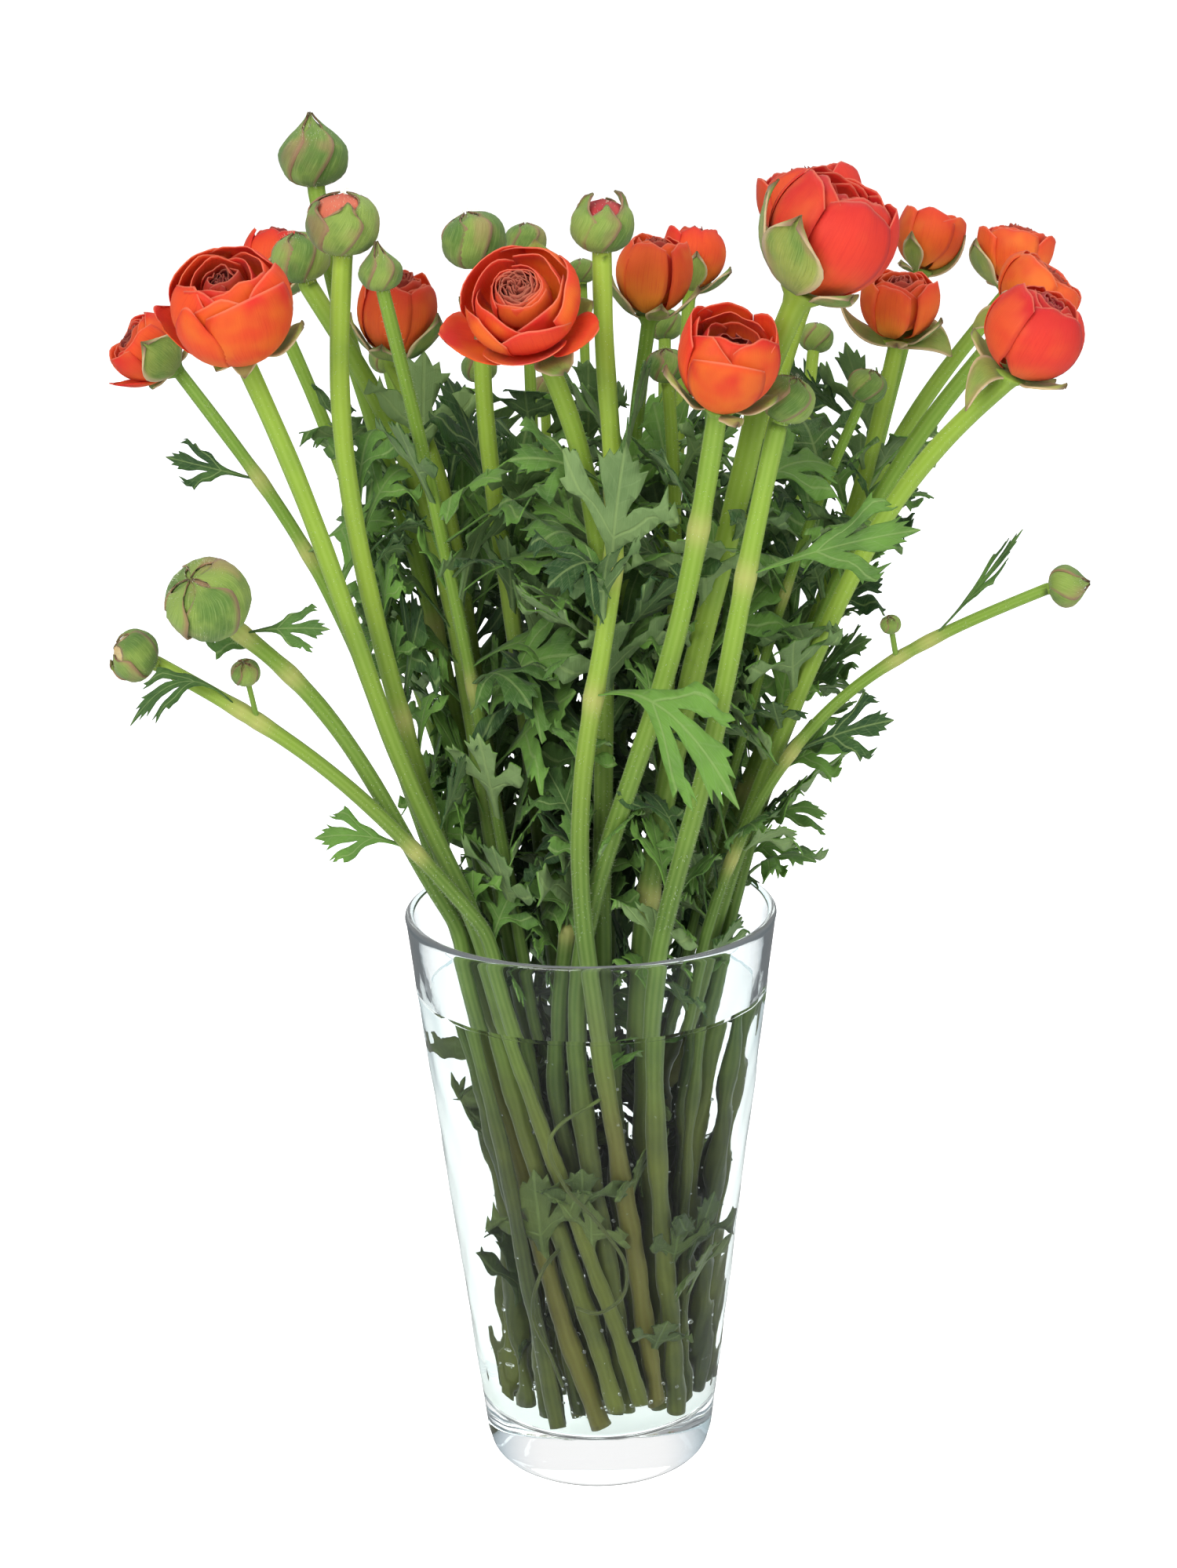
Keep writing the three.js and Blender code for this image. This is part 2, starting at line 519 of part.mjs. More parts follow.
// A leaf as a closed blade: every face touches a thick point of a rib, and the edges are sharp.
function makeLeaf(root, leaf) {
  const at = leafSurface(root, leaf);
  const body = new Body();
  const samples = [];
  const ids = {};
  const place = (key, name, hand) => {
    const [along, share] = name in RIB ? [RIB[name], 0] : OUTLINE[name];
    const across = hand * share * leaf.width;
    const p = at(along, across);
    if (!THICK.includes(name)) {
      ids[key] = [body.point(p)];
      return p;
    }
    const slope = at(along + 0.02, across).sub(p);
    const normal = slope.cross(at(along, across + 0.2).sub(p)).normalize();
    ids[key] = [1, -1].map((sign) => body.point(p.clone().addScaledVector(normal, (sign * BLADE) / 2)));
    return p;
  };
  const found = {};
  for (const name of Object.keys(RIB)) found[name] = place(name, name, 0);
  for (const hand of [1, -1]) {
    for (const name of Object.keys(OUTLINE)) found[name + hand] = place(name + hand, name, hand);
    for (const corners of HALF_LEAF) {
      const keys = corners.map((name) => (name in RIB ? name : name + hand));
      for (const face of [0, 1]) {
        const [a, b, c] = keys.map((key) => ids[key][face] ?? ids[key][0]);
        if ((face === 0) === (hand === 1)) body.face(a, b, c);
        else body.face(a, c, b);
      }
      const [p, q, r] = keys.map((key) => found[key]);
      samples.push(p, q, r, p.clone().lerp(q, 0.5), q.clone().lerp(r, 0.5), r.clone().lerp(p, 0.5));
    }
  }
  return { body, samples };
}

// A leaf grows from inside its stem at a height. It must miss the other stems, its own stem beyond
// its root, the heads, the glass and the leaves before it. Where it is bound, it stays in the bunch.
function tryLeaf(leaf, stems, heads, placed, bound) {
  const stem = stems.find((s) => s.name === leaf.on);
  const root = pointAt(stem, leaf.at);
  const { body, samples } = makeLeaf(root, leaf);
  const own = (p) => p.distanceTo(root) < stem.radius + LEAF_ROOM.root;
  for (const p of samples) {
    if (p.z < VASE.height + 4 && Math.hypot(p.x, p.y) > innerRadius(VASE.height) - 3) return null;
    if (p.z < WATER_LEVEL + 4) return null;
    const wide = BUNCH.radius + BUNCH.spread * (p.z - VASE.height);
    if (bound && Math.hypot(p.x, p.y) > wide) return null;
    for (const other of stems) {
      if (other === stem && own(p)) continue;
      const room = other.radius + LEAF_ROOM.stem;
      for (const q of other.points) if (p.distanceToSquared(q) < room * room + 9) return null;
    }
    for (const { centre, radius } of heads) {
      if (p.distanceTo(centre) < radius * 1.15 + LEAF_ROOM.head) return null;
    }
    for (const q of placed) if (p.distanceToSquared(q) < LEAF_ROOM.leaf ** 2) return null;
  }
  return { stem, body, samples };
}

function growLeaves(stems, heads) {
  const draw = randomFrom(SEED);
  const placed = [];
  const keep = (found) => {
    if (!found) return false;
    found.stem.parts.push(found.body.solid());
    placed.push(...found.samples);
    return true;
  };
  for (const chosen of CHOSEN_LEAVES) {
    for (const nudge of [0, 12, -12, 24, -24, 36, -36]) {
      if (keep(tryLeaf({ ...chosen, heading: chosen.heading + nudge }, stems, heads, placed, false))) break;
    }
  }
  for (const stem of stems) {
    for (let attempt = 0; attempt < LEAF_RULE.tries; attempt++) {
      const leaf = {
        on: stem.name,
        at: lerp(LEAF_RULE.low, LEAF_RULE.high, draw()),
        heading: 360 * draw(),
        rise: lerp(...LEAF_RULE.rise, draw()),
        length: lerp(...LEAF_RULE.length, attempt / LEAF_RULE.tries),
        width: lerp(...LEAF_RULE.width, attempt / LEAF_RULE.tries),
        droop: lerp(...LEAF_RULE.droop, draw()),
      };
      if (keep(tryLeaf(leaf, stems, heads, placed, true))) break;
    }
  }
}

// ---------------------------------------------------------------- blooms and buds

// A petal or sepal: a patch of an egg round the bloom's axis, from near the base up to its tip.
function patch(head, { radius, from, to, turn, width, rows, columns, flare = 0, point = 0.55 }) {
  const [side, front] = crossAxes(head.axis);
  const grid = [];
  for (let i = 0; i <= rows; i++) {
    const t = i / rows;
    const polar = rad(lerp(from, to, t));
    const widening = lerp(0.2, 1, Math.sin((Math.min(t / 0.6, 1) * Math.PI) / 2));
    const narrowing = lerp(1, point, Math.max((t - 0.6) / 0.4, 0) ** 2);
    const spread = width * widening * narrowing;
    const row = [];
    for (let j = 0; j <= columns; j++) {
      const across = (2 * j) / columns - 1;
      const drop = 0.1 * across * across * t * (to - from);
      const angle = rad(turn + spread * across);
      const bend = polar - rad(drop * (i === rows ? 1 : 0.5));
      const r = radius * (1 + flare * t * t);
      const tall = head.reach / head.radius;
      const p = head.centre.clone().addScaledVector(head.axis, -Math.cos(bend) * r * tall);
      p.addScaledVector(side, Math.sin(bend) * r * Math.cos(angle));
      p.addScaledVector(front, Math.sin(bend) * r * Math.sin(angle));
      row.push(p);
    }
    grid.push(row);
  }
  return blade(grid, BLADE);
}

// Petals in layers round a core, which carries their roots.
function makePetals(flower) {
  const head = headOf(flower);
  const { radius, reach } = head;
  const layers = flower.across > 28 ? 3 : 2;
  const profile = [
    [0, -1.0], [0.33, -0.92], [0.42, -0.55], [0.5, 0.1], [0, 0.5],
  ].map(([r, h]) => [r * radius, h * reach]);
  const parts = [turned(head.centre, head.axis, profile, 7)];
  for (let layer = 0; layer < layers; layer++) {
    const share = 1 - layer * (layers > 2 ? 0.165 : 0.22);
    const petals = layer < layers - 1 ? 5 : 3;
    for (let k = 0; k < petals; k++) {
      const turn = (360 * (k + 0.5 * layer + 0.23 * layer)) / petals;
      parts.push(patch(head, {
        radius: radius * share, from: 15, to: flower.close + 9 * layer + 6 * ((k + layer) % 2), turn,
        width: (180 / petals) * 0.95, rows: layer === 0 ? 3 : 2, columns: 2,
        flare: layer === 0 ? 0.02 : -0.06,
      }));
    }
  }
  for (const turn of flower.loose ?? []) {
    parts.push(patch(head, {
      radius: radius * 1.12, from: 17, to: 86, turn, width: 32, rows: 3, columns: 2, flare: 0.34,
    }));
  }
  return fuse(parts);
}

// The green cup under a bloom: the seat at the top of the stem and five sepals.
function makeSepals(flower) {
  const head = headOf(flower);
  const { radius, reach } = head;
  const top = -(1.0 * reach + GAP);
  const low = -(SEAT.bloom + 0.1) * reach;
  const seat = [[0, top], [0.36 * radius, top], [flower.stem * 0.9, low], [0, low]];
  const count = 5;
  const parts = [turned(head.centre, head.axis, seat, count)];
  const loose = flower.loose ? 1.19 : 1.06;
  for (let k = 0; k < count; k++) {
    parts.push(patch(head, {
      radius: radius * loose + 0.9, from: 11, to: 66 + 14 * ((k * 2) % 3), turn: (360 * k) / count + 20,
      width: 24, rows: 2, columns: 2, flare: 0.05 + 0.06 * (k % 2), point: 0.3,
    }));
  }
  return parts;
}

// A closed bud: five sepals wrapped over each other show as ridges that meet in a point.
function makeBud(bud) {
  const head = headOf(bud);
  const { radius, reach } = head;
  const small = bud.across < 14;
  const profile = [
    [0, -1.12], [0.82, -0.6], [1, 0], [0.82, 0.6], [0.3, 0.92], [0, 1.12],
  ].map(([r, h]) => [r * radius, h * reach]);
  const ridges = (turn, height) => 1 + 0.06 * Math.cos(5 * turn + (height / reach) * 0.8);
  return turned(head.centre, head.axis, profile, small ? 6 : 10, ridges);
}

function makeSideBud(stem, [height, centre, across]) {
  const root = pointAt(stem, height);
  const tip = vec(centre);
  const axis = tip.clone().sub(root).normalize();
  const radius = across / 2;
  const profile = [[0, -1.2], [0.8, -0.5], [0.8, 0.5], [0, 1.3]].map(([r, h]) => [r * radius, h * radius]);
  return [bar([root, tip], [1, 0.9], 4), turned(tip, axis, profile, 6)];
}

// ---------------------------------------------------------------- the bouquet

const material = (colour, roughness, extra = {}) =>
  new THREE.MeshStandardMaterial({ color: COLOURS[colour], roughness, metalness: 0, ...extra });
const glass = material("glass", 0.04, { transparent: true, opacity: 0.3 });
const waterLook = material("water", 0.02, { transparent: true, opacity: 0.25 });
const green = material("green", 0.55);
const budGreen = material("bud", 0.6);

const bouquet = new THREE.Group();
function add(name, made, look) {
  const mesh = new THREE.Mesh(toGeometry(made), look);
  mesh.name = name;
  bouquet.add(mesh);
}

const plants = [...FLOWERS, ...BUDS.map((bud) => ({ ...bud, bud: true })), STUB];
const settled = settle(plants);
const stems = plants.map((plant, i) => {
  const points = settled[i];
  const rings = thinned(points);
  const parts = [bar(rings, rings.map(() => plant.stem), STEM_SIDES)];
  return { name: plant.name, plant, radius: plant.stem, points, rings, parts };
});
const sideBuds = plants.flatMap((plant) => plant.side ?? []);
const heads = [
  ...plants.filter((plant) => plant.centre).map(headOf),
  ...sideBuds.map(([, centre, across]) => ({ centre: vec(centre), radius: across / 2 })),
];
growLeaves(stems, heads);

add("vase", makeVase(), glass);
add("water", makeWater(stems), waterLook);
for (const stem of stems) {
  const { plant, parts } = stem;
  for (const side of plant.side ?? []) parts.push(...makeSideBud(stem, side));
  if (plant.bud) {
    add(`bud_${plant.name}`, fuse([...parts, makeBud(plant)]), budGreen);
  } else if (plant.centre) {
    add(`stem_${plant.name}`, fuse([...parts, ...makeSepals(plant)]), green);
    const colour = BLOOM_COLOUR[plant.name] ?? "red";
    add(`petals_${plant.name}`, makePetals(plant), material(colour, 0.5));
  } else {
    add(plant.name, fuse(parts), green);
  }
}

export default bouquet;
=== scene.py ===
"""A bouquet of red-orange ranunculus in a tapered glass vase with water.

Sizes in the tables are millimetres, +Z up, with the viewer at -Y. Every plant is given one by one: its
head and the route of its stem. The stems are settled against each other and the glass, leaves are
set on them where there is room, and each piece is then modelled round the solid that it stands for.
"""

import functools
import math

import bpy
import numpy as np
from mathutils import Matrix, Vector


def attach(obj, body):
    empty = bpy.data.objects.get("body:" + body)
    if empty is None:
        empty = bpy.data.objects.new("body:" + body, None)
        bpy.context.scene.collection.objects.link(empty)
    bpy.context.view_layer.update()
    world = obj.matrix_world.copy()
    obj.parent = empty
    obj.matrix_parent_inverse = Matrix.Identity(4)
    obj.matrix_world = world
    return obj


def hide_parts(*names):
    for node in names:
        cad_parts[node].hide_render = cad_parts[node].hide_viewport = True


bl_info = {
    "name": "Ranunculus bouquet",
    "version": (1, 0, 0),
    "blender": (4, 5, 0),
    "location": "3D View > Sidebar > Bouquet",
    "description": "Models a ranunculus bouquet in its glass vase",
    "category": "Add Mesh",
}

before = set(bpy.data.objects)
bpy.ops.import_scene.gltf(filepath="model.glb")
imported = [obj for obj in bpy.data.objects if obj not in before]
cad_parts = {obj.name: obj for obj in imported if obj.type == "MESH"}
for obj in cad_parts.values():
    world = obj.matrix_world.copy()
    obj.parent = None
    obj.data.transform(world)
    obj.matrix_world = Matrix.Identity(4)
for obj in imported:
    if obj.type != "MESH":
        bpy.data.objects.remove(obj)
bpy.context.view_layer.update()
MM = 0.001

# ---------------------------------------------------------------- the glass, the water and the stems

VASE = {"height": 200, "rim_radius": 63, "foot_radius": 39, "wall": 3, "floor": 19, "fillet": 5, "corner": 5}
WATER_LEVEL = 172
GAP = 0.35

# The feet lie nearer the middle than the stems in the mouth do, the bunch is twisted between mouth
# and floor by turn, more or less for each stem (degrees), and some feet are caught higher.
FOOT = {"spread": 0.5, "waist": 0.86, "turn": 44, "sway": 24, "lift": 9}
SEAT = {"bloom": 1.28, "bud": 1.06}     # below the centre of a head, for its reach
NECK = 9            # a stem leaves its head halfway between the head's axis and its route, for so far
SETTLE = {
    "step": 6, "rounds": 320, "loosen": 170, "clear": 2.5, "near": 8, "smooth": 0.22, "firm": 0.16,
    "pull": 0.035,
}
# The foliage keeps this near the axis, wider higher up, and leaves that reach further back than back
# keep their place free but aren't modelled.
BUNCH = {"radius": 60, "spread": 0.24, "back": 104}

# Flowers: centre and direction of the bloom, its width, how tall it is for its width, how far
# round the petals close (degrees from the base), the stem's radius and the route down to the mouth.
# heart is the height of the inmost rims for the bloom's reach, and tight its width for the bloom's.
# layers is how many layers of petals lie outside and inside tight, shares the widths of the outside
# ones, and drift how far off the axis the heart lies, in shares of the radius. Headings are seen from
# above, in degrees, 0 to the right and -90 to the viewer: hang gives the sepals that stand off
# (heading, length, sag and half width), boats the large ones that hug the bloom (heading, how far up
# in degrees from its base, and half width in degrees), and loose the petals that stand off (the same,
# their flare and how wide their tips stay). apart is how much wider than the bloom its sepals stand.
FLOWERS = [
    dict(name="far_left", centre=(-143, 15, 390), face=(-0.7, -0.25, 0.6), across=23, tall=1.05,
         close=118, stem=2.2, heart=0.5,
         layers=(3, 4), hang=[(202, 20, 0.05, 3.2)], boats=[(-62, 106, 44)],
         loose=[(200, 96, 30, 0.3, 0.3)],
         route=[(-122, 8, 368), (-102, 2, 346), (-84, -5, 318), (-70, -10, 280), (-46, -16, 202)]),
    dict(name="left_cup", centre=(-102, -75, 412), face=(-0.1, -0.5, 0.85), across=36, tall=0.98,
         close=132, stem=3, heart=0.36, tight=0.36, shares=(0.985, 0.82, 0.6), layers=(3, 5),
         drift=(-0.14, 0.14),
         hang=[(-122, 17, 0.55, 6), (-84, 15, 0.9, 6)], boats=[(-10, 70, 24)],
         loose=[(178, 92, 34, 0.16, 0.3), (-62, 124, 54, 0.02, 0.9), (-120, 122, 27, 0.07, 0.4)],
         route=[(-94, -64, 382), (-86, -58, 358), (-75, -54, 320), (-64, -48, 276), (-40, -38, 202)]),
    dict(name="left_behind", centre=(-101, 40, 416), face=(0.1, 0.3, 0.95), across=22, tall=1.1,
         close=130, stem=2.3, heart=0.7,
         route=[(-93, 38, 385), (-84, 34, 355), (-70, 28, 312), (-54, 20, 264), (-36, 10, 202)]),
    dict(name="left_small", centre=(-57, -22, 404), face=(0.15, -0.2, 0.97), across=25, tall=1.15,
         close=135, stem=2.2, heart=0.8, boats=[(196, 84, 34), (-28, 100, 34), (-100, 66, 30)],
         route=[(-48, -20, 378), (-44, -18, 352), (-39, -12, 310), (-34, -6, 262), (-26, 0, 202)]),
    dict(name="rose_centre", centre=(-17, -80, 412), face=(-0.2, -0.72, 0.66), across=35, tall=0.8,
         close=114, stem=3, heart=0.5, shares=(0.985, 0.78), layers=(2, 9), tight=0.5, apart=1.19,
         loose=[(-100, 82, 50, 0.12, 0.75), (214, 104, 38, 0.42, 0.12), (-48, 86, 30, 0.38, 0.25)],
         hang=[(206, 24, 0.3, 4.2)],
         route=[(-2, -66, 388), (3, -60, 362), (6, -56, 330), (6, -48, 282), (3, -36, 202)]),
    dict(name="centre_cup", centre=(23, -28, 415), face=(0.1, -0.15, 0.98), across=24, tall=1.12,
         close=136, stem=2.3, heart=0.7, boats=[(206, 86, 32), (-78, 66, 22), (-18, 82, 26)],
         route=[(18, -24, 387), (15, -16, 356), (14, -8, 318), (12, 0, 272), (7, 8, 202)]),
    dict(name="centre_behind", centre=(39, 68, 412), face=(0.1, 0.25, 0.96), across=22, tall=1.1,
         close=130, stem=2.2, heart=0.7,
         route=[(35, 64, 384), (34, 58, 349), (30, 52, 312), (23, 42, 258), (12, 30, 202)]),
    dict(name="right_front", centre=(43, -88, 396), face=(0.15, -0.42, 0.9), across=30, tall=1.12,
         close=128, stem=3.1, heart=0.1, shares=(0.985, 0.86, 0.64), layers=(3, 4), drift=(0.05, 0.1),
         boats=[(196, 84, 26), (-72, 50, 22), (-16, 64, 24)], loose=[(-92, 110, 50, 0.03, 0.85)],
         route=[(36, -82, 364), (35, -78, 338), (27, -70, 302), (14, -60, 262), (-5, -47, 202)]),
    dict(name="tall_behind", centre=(72, -12, 436), face=(-0.15, 0.1, 0.98), across=33, tall=0.95,
         close=120, stem=3.3, heart=0.5, layers=(4, 5),
         route=[(66, -12, 405), (61, -11, 378), (54, -8, 342), (43, 0, 282), (25, 6, 202)]),
    dict(name="tall_front", centre=(74, -78, 430), face=(0.45, -0.15, 0.88), across=38, tall=1.02,
         close=134, stem=3.7, heart=0.4, layers=(4, 6), boats=[(-122, 98, 36), (176, 106, 26)],
         route=[(61, -68, 398), (54, -62, 375), (44, -54, 335), (33, -46, 291), (16, -34, 202)]),
    dict(name="right_behind", centre=(118, 50, 419), face=(0.25, 0.2, 0.95), across=23, tall=1.1,
         close=120, stem=2.4, heart=0.5,
         boats=[(-120, 80, 20)],
         hang=[(-6, 21, -0.5, 3)],
         route=[(111, 48, 392), (104, 44, 363), (95, 38, 328), (77, 28, 280), (46, 10, 202)]),
    dict(name="right_low", centre=(100, -20, 404), face=(0.05, -0.2, 0.98), across=25, tall=1,
         close=124, stem=2.6, heart=0.5,
         boats=[(-95, 52, 24), (-30, 78, 26)],
         hang=[(190, 27, -0.5, 3.4), (-14, 22, 0.6, 6)],
         route=[(98, -18, 376), (92, -16, 350), (82, -12, 318), (64, -8, 270), (36, -4, 202)]),
    dict(name="right_top", centre=(143, 28, 416), face=(0.15, 0.1, 0.98), across=25, tall=1,
         close=112, stem=2.6, heart=0.5, boats=[(204, 92, 28)],
         route=[(126, 26, 388), (108, 22, 362), (91, 18, 332), (72, 12, 284), (48, 0, 202)]),
    dict(name="right_middle", centre=(143, -26, 408), face=(0.62, -0.1, 0.78), across=27, tall=0.95,
         close=116, stem=2.7, heart=0.45,
         hang=[(170, 15, 0.5, 4)],
         route=[(122, -26, 387), (106, -25, 366), (90, -23, 339), (74, -20, 300), (46, -15, 202)]),
    dict(name="right_ball", centre=(133, -78, 400), face=(0.45, -0.25, 0.86), across=30, tall=0.95,
         close=140, stem=2.9, heart=0.7,
         boats=[(-30, 66, 36)],
         hang=[(212, 20, 1.1, 4.6)],
         route=[(114, -62, 378), (99, -53, 356), (85, -44, 329), (68, -35, 282), (40, -22, 202)]),
]

# Closed buds, given the same way. A side bud is (height on the stem, its own centre, its width).
# shows is the colour of the petals that look out of the tip and how far up the sepals reach, bare
# the heading where they reach less far, tip how much longer than round the bud is, and horns the
# sepals whose tips stand up over it.
BUDS = [
    dict(name="highest_left", centre=(-83, 0, 450), face=(-0.05, 0, 1), across=20.5, stem=2.8, tip=0.42,
         route=[(-82, 0, 425), (-76, -2, 392), (-62, -4, 351), (-50, -6, 308), (-34, -12, 202)]),
    dict(name="tall_left", centre=(-70, -55, 433), face=(0.05, -0.15, 0.98), across=20.5, stem=3,
         shows=("salmon", 0.93), bare=205,
         route=[(-74, -52, 408), (-76, -50, 386), (-74, -46, 356), (-67, -40, 311), (-42, -26, 202)]),
    dict(name="left_hidden", centre=(-87, -14, 420), face=(-0.2, -0.1, 0.97), across=17, stem=3,
         route=[(-76, -14, 398), (-64, -14, 375), (-48, -18, 351), (-42, -20, 310), (-28, -24, 202)]),
    dict(name="left_pointed", centre=(-59, -60, 419), face=(-0.1, -0.1, 0.98), across=12, stem=2.1, tip=0.62,
         route=[(-56, -56, 399), (-51, -48, 376), (-46, -40, 345), (-39, -34, 304), (-24, -30, 202)]),
    dict(name="centre_left", centre=(-32, -35, 426), face=(-0.25, -0.05, 0.97), across=18.5, stem=2.8,
         route=[(-34, -34, 402), (-32, -32, 378), (-28, -28, 343), (-22, -22, 296), (-14, -14, 202)]),
    dict(name="centre_back", centre=(-18, 60, 418), face=(0, 0.1, 1), across=13, stem=2,
         route=[(-18, 58, 388), (-17, 54, 350), (-15, 44, 296), (-11, 28, 202)]),
    dict(name="tall_centre", centre=(7, -66, 432), face=(0.02, -0.1, 1), across=17.5, stem=2.9,
         shows=("crimson", 0.8), horns=(0, 2),
         route=[(4, -64, 406), (6, -63, 378), (14, -66, 350), (11, -70, 322), (1, -70, 293),
                (-4, -62, 258), (-3, -50, 202)]),
    dict(name="far_back", centre=(1, 90, 405), face=(0, 0.2, 1), across=9, stem=1.7,
         route=[(2, 84, 369), (2, 76, 331), (1, 62, 283), (-2, 42, 202)]),
    dict(name="left_round", centre=(-112, -86, 326), face=(-0.35, -0.62, 0.7), across=24, stem=2.6,
         route=[(-99, -68, 312), (-88, -62, 302), (-76, -55, 278), (-62, -50, 250), (-44, -40, 202)]),
    dict(name="lowest_left", centre=(-139, -62, 304), face=(-0.85, -0.25, 0.4), across=15, stem=2.4,
         shows=("cream", 0.84), side=[(284, (-104, -70, 300), 8)],
         route=[(-120, -62, 295), (-102, -64, 286), (-78, -62, 267), (-56, -56, 242), (-38, -46, 202)]),
    dict(name="right_near", centre=(61, -74, 381), face=(0.35, -0.1, 0.92), across=15, stem=3,
         route=[(55, -77, 364), (49, -80, 338), (43, -78, 298), (36, -68, 259), (20, -50, 202)]),
    dict(name="right_leaning", centre=(88, -40, 380), face=(0.35, -0.05, 0.93), across=11, stem=1.6,
         route=[(78, -36, 357), (68, -32, 332), (58, -28, 296), (45, -22, 243), (34, -18, 202)]),
    dict(name="centre_right", centre=(26, -45, 388), face=(-0.1, -0.1, 0.98), across=11, stem=2,
         route=[(29, -42, 360), (30, -38, 325), (26, -32, 283), (20, -24, 202)]),
    dict(name="far_right", centre=(153, -30, 314), face=(0.95, -0.1, 0.15), across=12, stem=1.9, tip=0.35,
         side=[(294, (96, -41, 305), 5.5)],
         route=[(120, -34, 304), (91, -38, 294), (70, -38, 279), (50, -36, 242), (36, -33, 202)]),
    dict(name="right_back", centre=(82, 75, 382), face=(0.2, 0.3, 0.93), across=11, stem=2.1,
         route=[(79, 70, 353), (73, 62, 315), (57, 50, 267), (32, 32, 202)]),
    dict(name="high_back", centre=(30, 98, 385), face=(0, 0.3, 0.95), across=12, stem=2.2,
         route=[(30, 93, 356), (28, 84, 318), (24, 68, 264), (15, 44, 202)]),
    dict(name="left_back", centre=(-66, 56, 380), face=(-0.15, 0.3, 0.94), across=11.5, stem=2.2,
         route=[(-60, 50, 353), (-50, 42, 316), (-40, 32, 268), (-27, 18, 202)]),
    dict(name="low_back", centre=(-13, 95, 363), face=(0, 0.3, 0.95), across=10.5, stem=1.8,
         route=[(-12, 88, 329), (-11, 74, 286), (-10, 44, 202)]),
    dict(name="back_left", centre=(-36, 90, 372), face=(-0.1, 0.3, 0.95), across=11.5, stem=2,
         route=[(-34, 84, 337), (-30, 70, 288), (-20, 42, 202)]),
]

# base of the petal, its face, its rim, and the heart of the bloom, the colour that the inner layers darken
# to: partly their own deeper colour, partly painted shade in the bloom's hollow
PETAL_COLOURS = {
    "red": ((250, 146, 40), (240, 88, 34), (218, 42, 34), (84, 16, 24)),
    "dusky": ((250, 150, 40), (236, 82, 38), (212, 46, 38), (150, 82, 64)),
    "coral": ((246, 118, 50), (228, 64, 44), (206, 36, 38), (140, 22, 44)),
    "orange": ((252, 158, 50), (242, 104, 40), (222, 64, 40), (140, 48, 38)),
    "salmon": ((234, 160, 110), (228, 124, 94), (190, 84, 70), (150, 56, 48)),
    "crimson": ((216, 110, 96), (198, 62, 66), (156, 38, 46), (120, 28, 36)),
    "cream": ((226, 210, 150), (232, 214, 160), (220, 190, 130), (190, 150, 90)),
}
BLOOM_COLOUR = {
    "rose_centre": "dusky", "tall_front": "coral", "tall_behind": "coral", "right_ball": "coral",
    "right_top": "orange", "right_middle": "orange", "right_behind": "orange", "right_low": "orange",
    "centre_cup": "orange", "left_small": "orange",
}
PETAL_SLOT = {"dusky": "petals_red"}

# A cut stub whose rounded top stands just above the mouth.
STUB = dict(name="stub", stem=2.7, route=[(-7, -38, 205), (-13, -36, 186), (-16, -33, 168)])

# The leaves that show against the white or lie over the front: stem, height on it, heading seen
# from above (degrees, 0 to the right, -90 to the viewer), rise, length, half width and droop.
CHOSEN_LEAVES = [
    ("far_left", 322, -22, 38, 52, 4.2, 0.32),
    ("far_left", 346, 176, 14, 31, 2.8, 0),
    ("left_round", 300, 170, 40, 40, 3.4, 0.1),
    ("left_round", 312, -20, 12, 30, 3, 0.1),
    ("lowest_left", 286, 198, 52, 58, 1.9, 0.75),
    ("right_near", 330, -18, 24, 56, 3.6, 0.12),
    ("far_right", 297, -8, 46, 40, 1.6, -0.15),
    ("tall_centre", 292, -32, 24, 64, 5.4, 0.75),
    ("tall_centre", 352, 205, 40, 44, 5.4, 0.35),
    ("tall_centre", 330, 232, 30, 34, 4.6, 0.5),
    ("lowest_left", 236, 180, 26, 34, 2.6, 0.3),
    ("far_right", 262, -12, 28, 36, 3.8, 0.15),
    ("right_ball", 300, 10, 30, 34, 4, 0.3),
    ("right_middle", 250, 5, 34, 34, 3.4, 0.2),
]
NUDGES = (0, 12, -12, 24, -24, 36, -36)

# The rules for the other leaves: between these heights, long at first and shorter with each try.
# room is how clear a leaf keeps of stems, heads and other leaves, and inside how far the bunch lies
# to the right and how its width and its depth behind and in front are squeezed before it is held
# against BUNCH. The first rule grows one leaf on each stem. A rule with glass sets leaves under
# water, within that share of the glass's radius, and the others fill the bunch.
LEAF_FOLD = 0.5         # how far a leaf's halves droop away from its rib
OWN_STEM = 9            # so near its root, a leaf may touch its own stem
# How clear a leaf keeps of the water's level and the rim, of the glass, and of the middle of a stem
# between two of its points, and how far off the search for what is near goes.
LEAF_CLEAR = {"level": 4, "wall": 3, "gap": 3, "search": 9}
HEAD_CLEAR = 1.15       # a head counts as this much larger
ALL_ROUND = (0, 360)
EVENLY = (0, 1, 1, 1)
GROWN = dict(
    seed=20, each=1, tries=24, low=206, high=352, heading=ALL_ROUND, length=(58, 36), width=(7, 4.4),
    rise=(38, 80), droop=(0.1, 0.7), room=(1.6, 2, 3.6), inside=EVENLY)
SUNKEN = dict(
    seed=33, each=2, tries=30, low=26, high=140, heading=ALL_ROUND, length=(52, 28), width=(7, 4),
    rise=(50, 88), droop=(-0.1, 0.3), room=(-2, 1, 0.7), inside=EVENLY, glass=0.8)
FRONT = dict(
    seed=92, each=2, tries=36, low=214, high=322, heading=(190, 350), length=(62, 38), width=(8.4, 5.4),
    rise=(24, 74), droop=(0.1, 0.8), room=(0.2, 1, 1.2), inside=(10, 0.95, 0.8, 1.12))
FOLIAGE = dict(
    seed=71, each=13, tries=22, low=204, high=346, heading=ALL_ROUND, length=(56, 24), width=(6, 3.2),
    rise=(36, 84), droop=(0, 0.6), room=(0, 1.2, 1.1), inside=(12, 0.9, 0.82, 1.12))
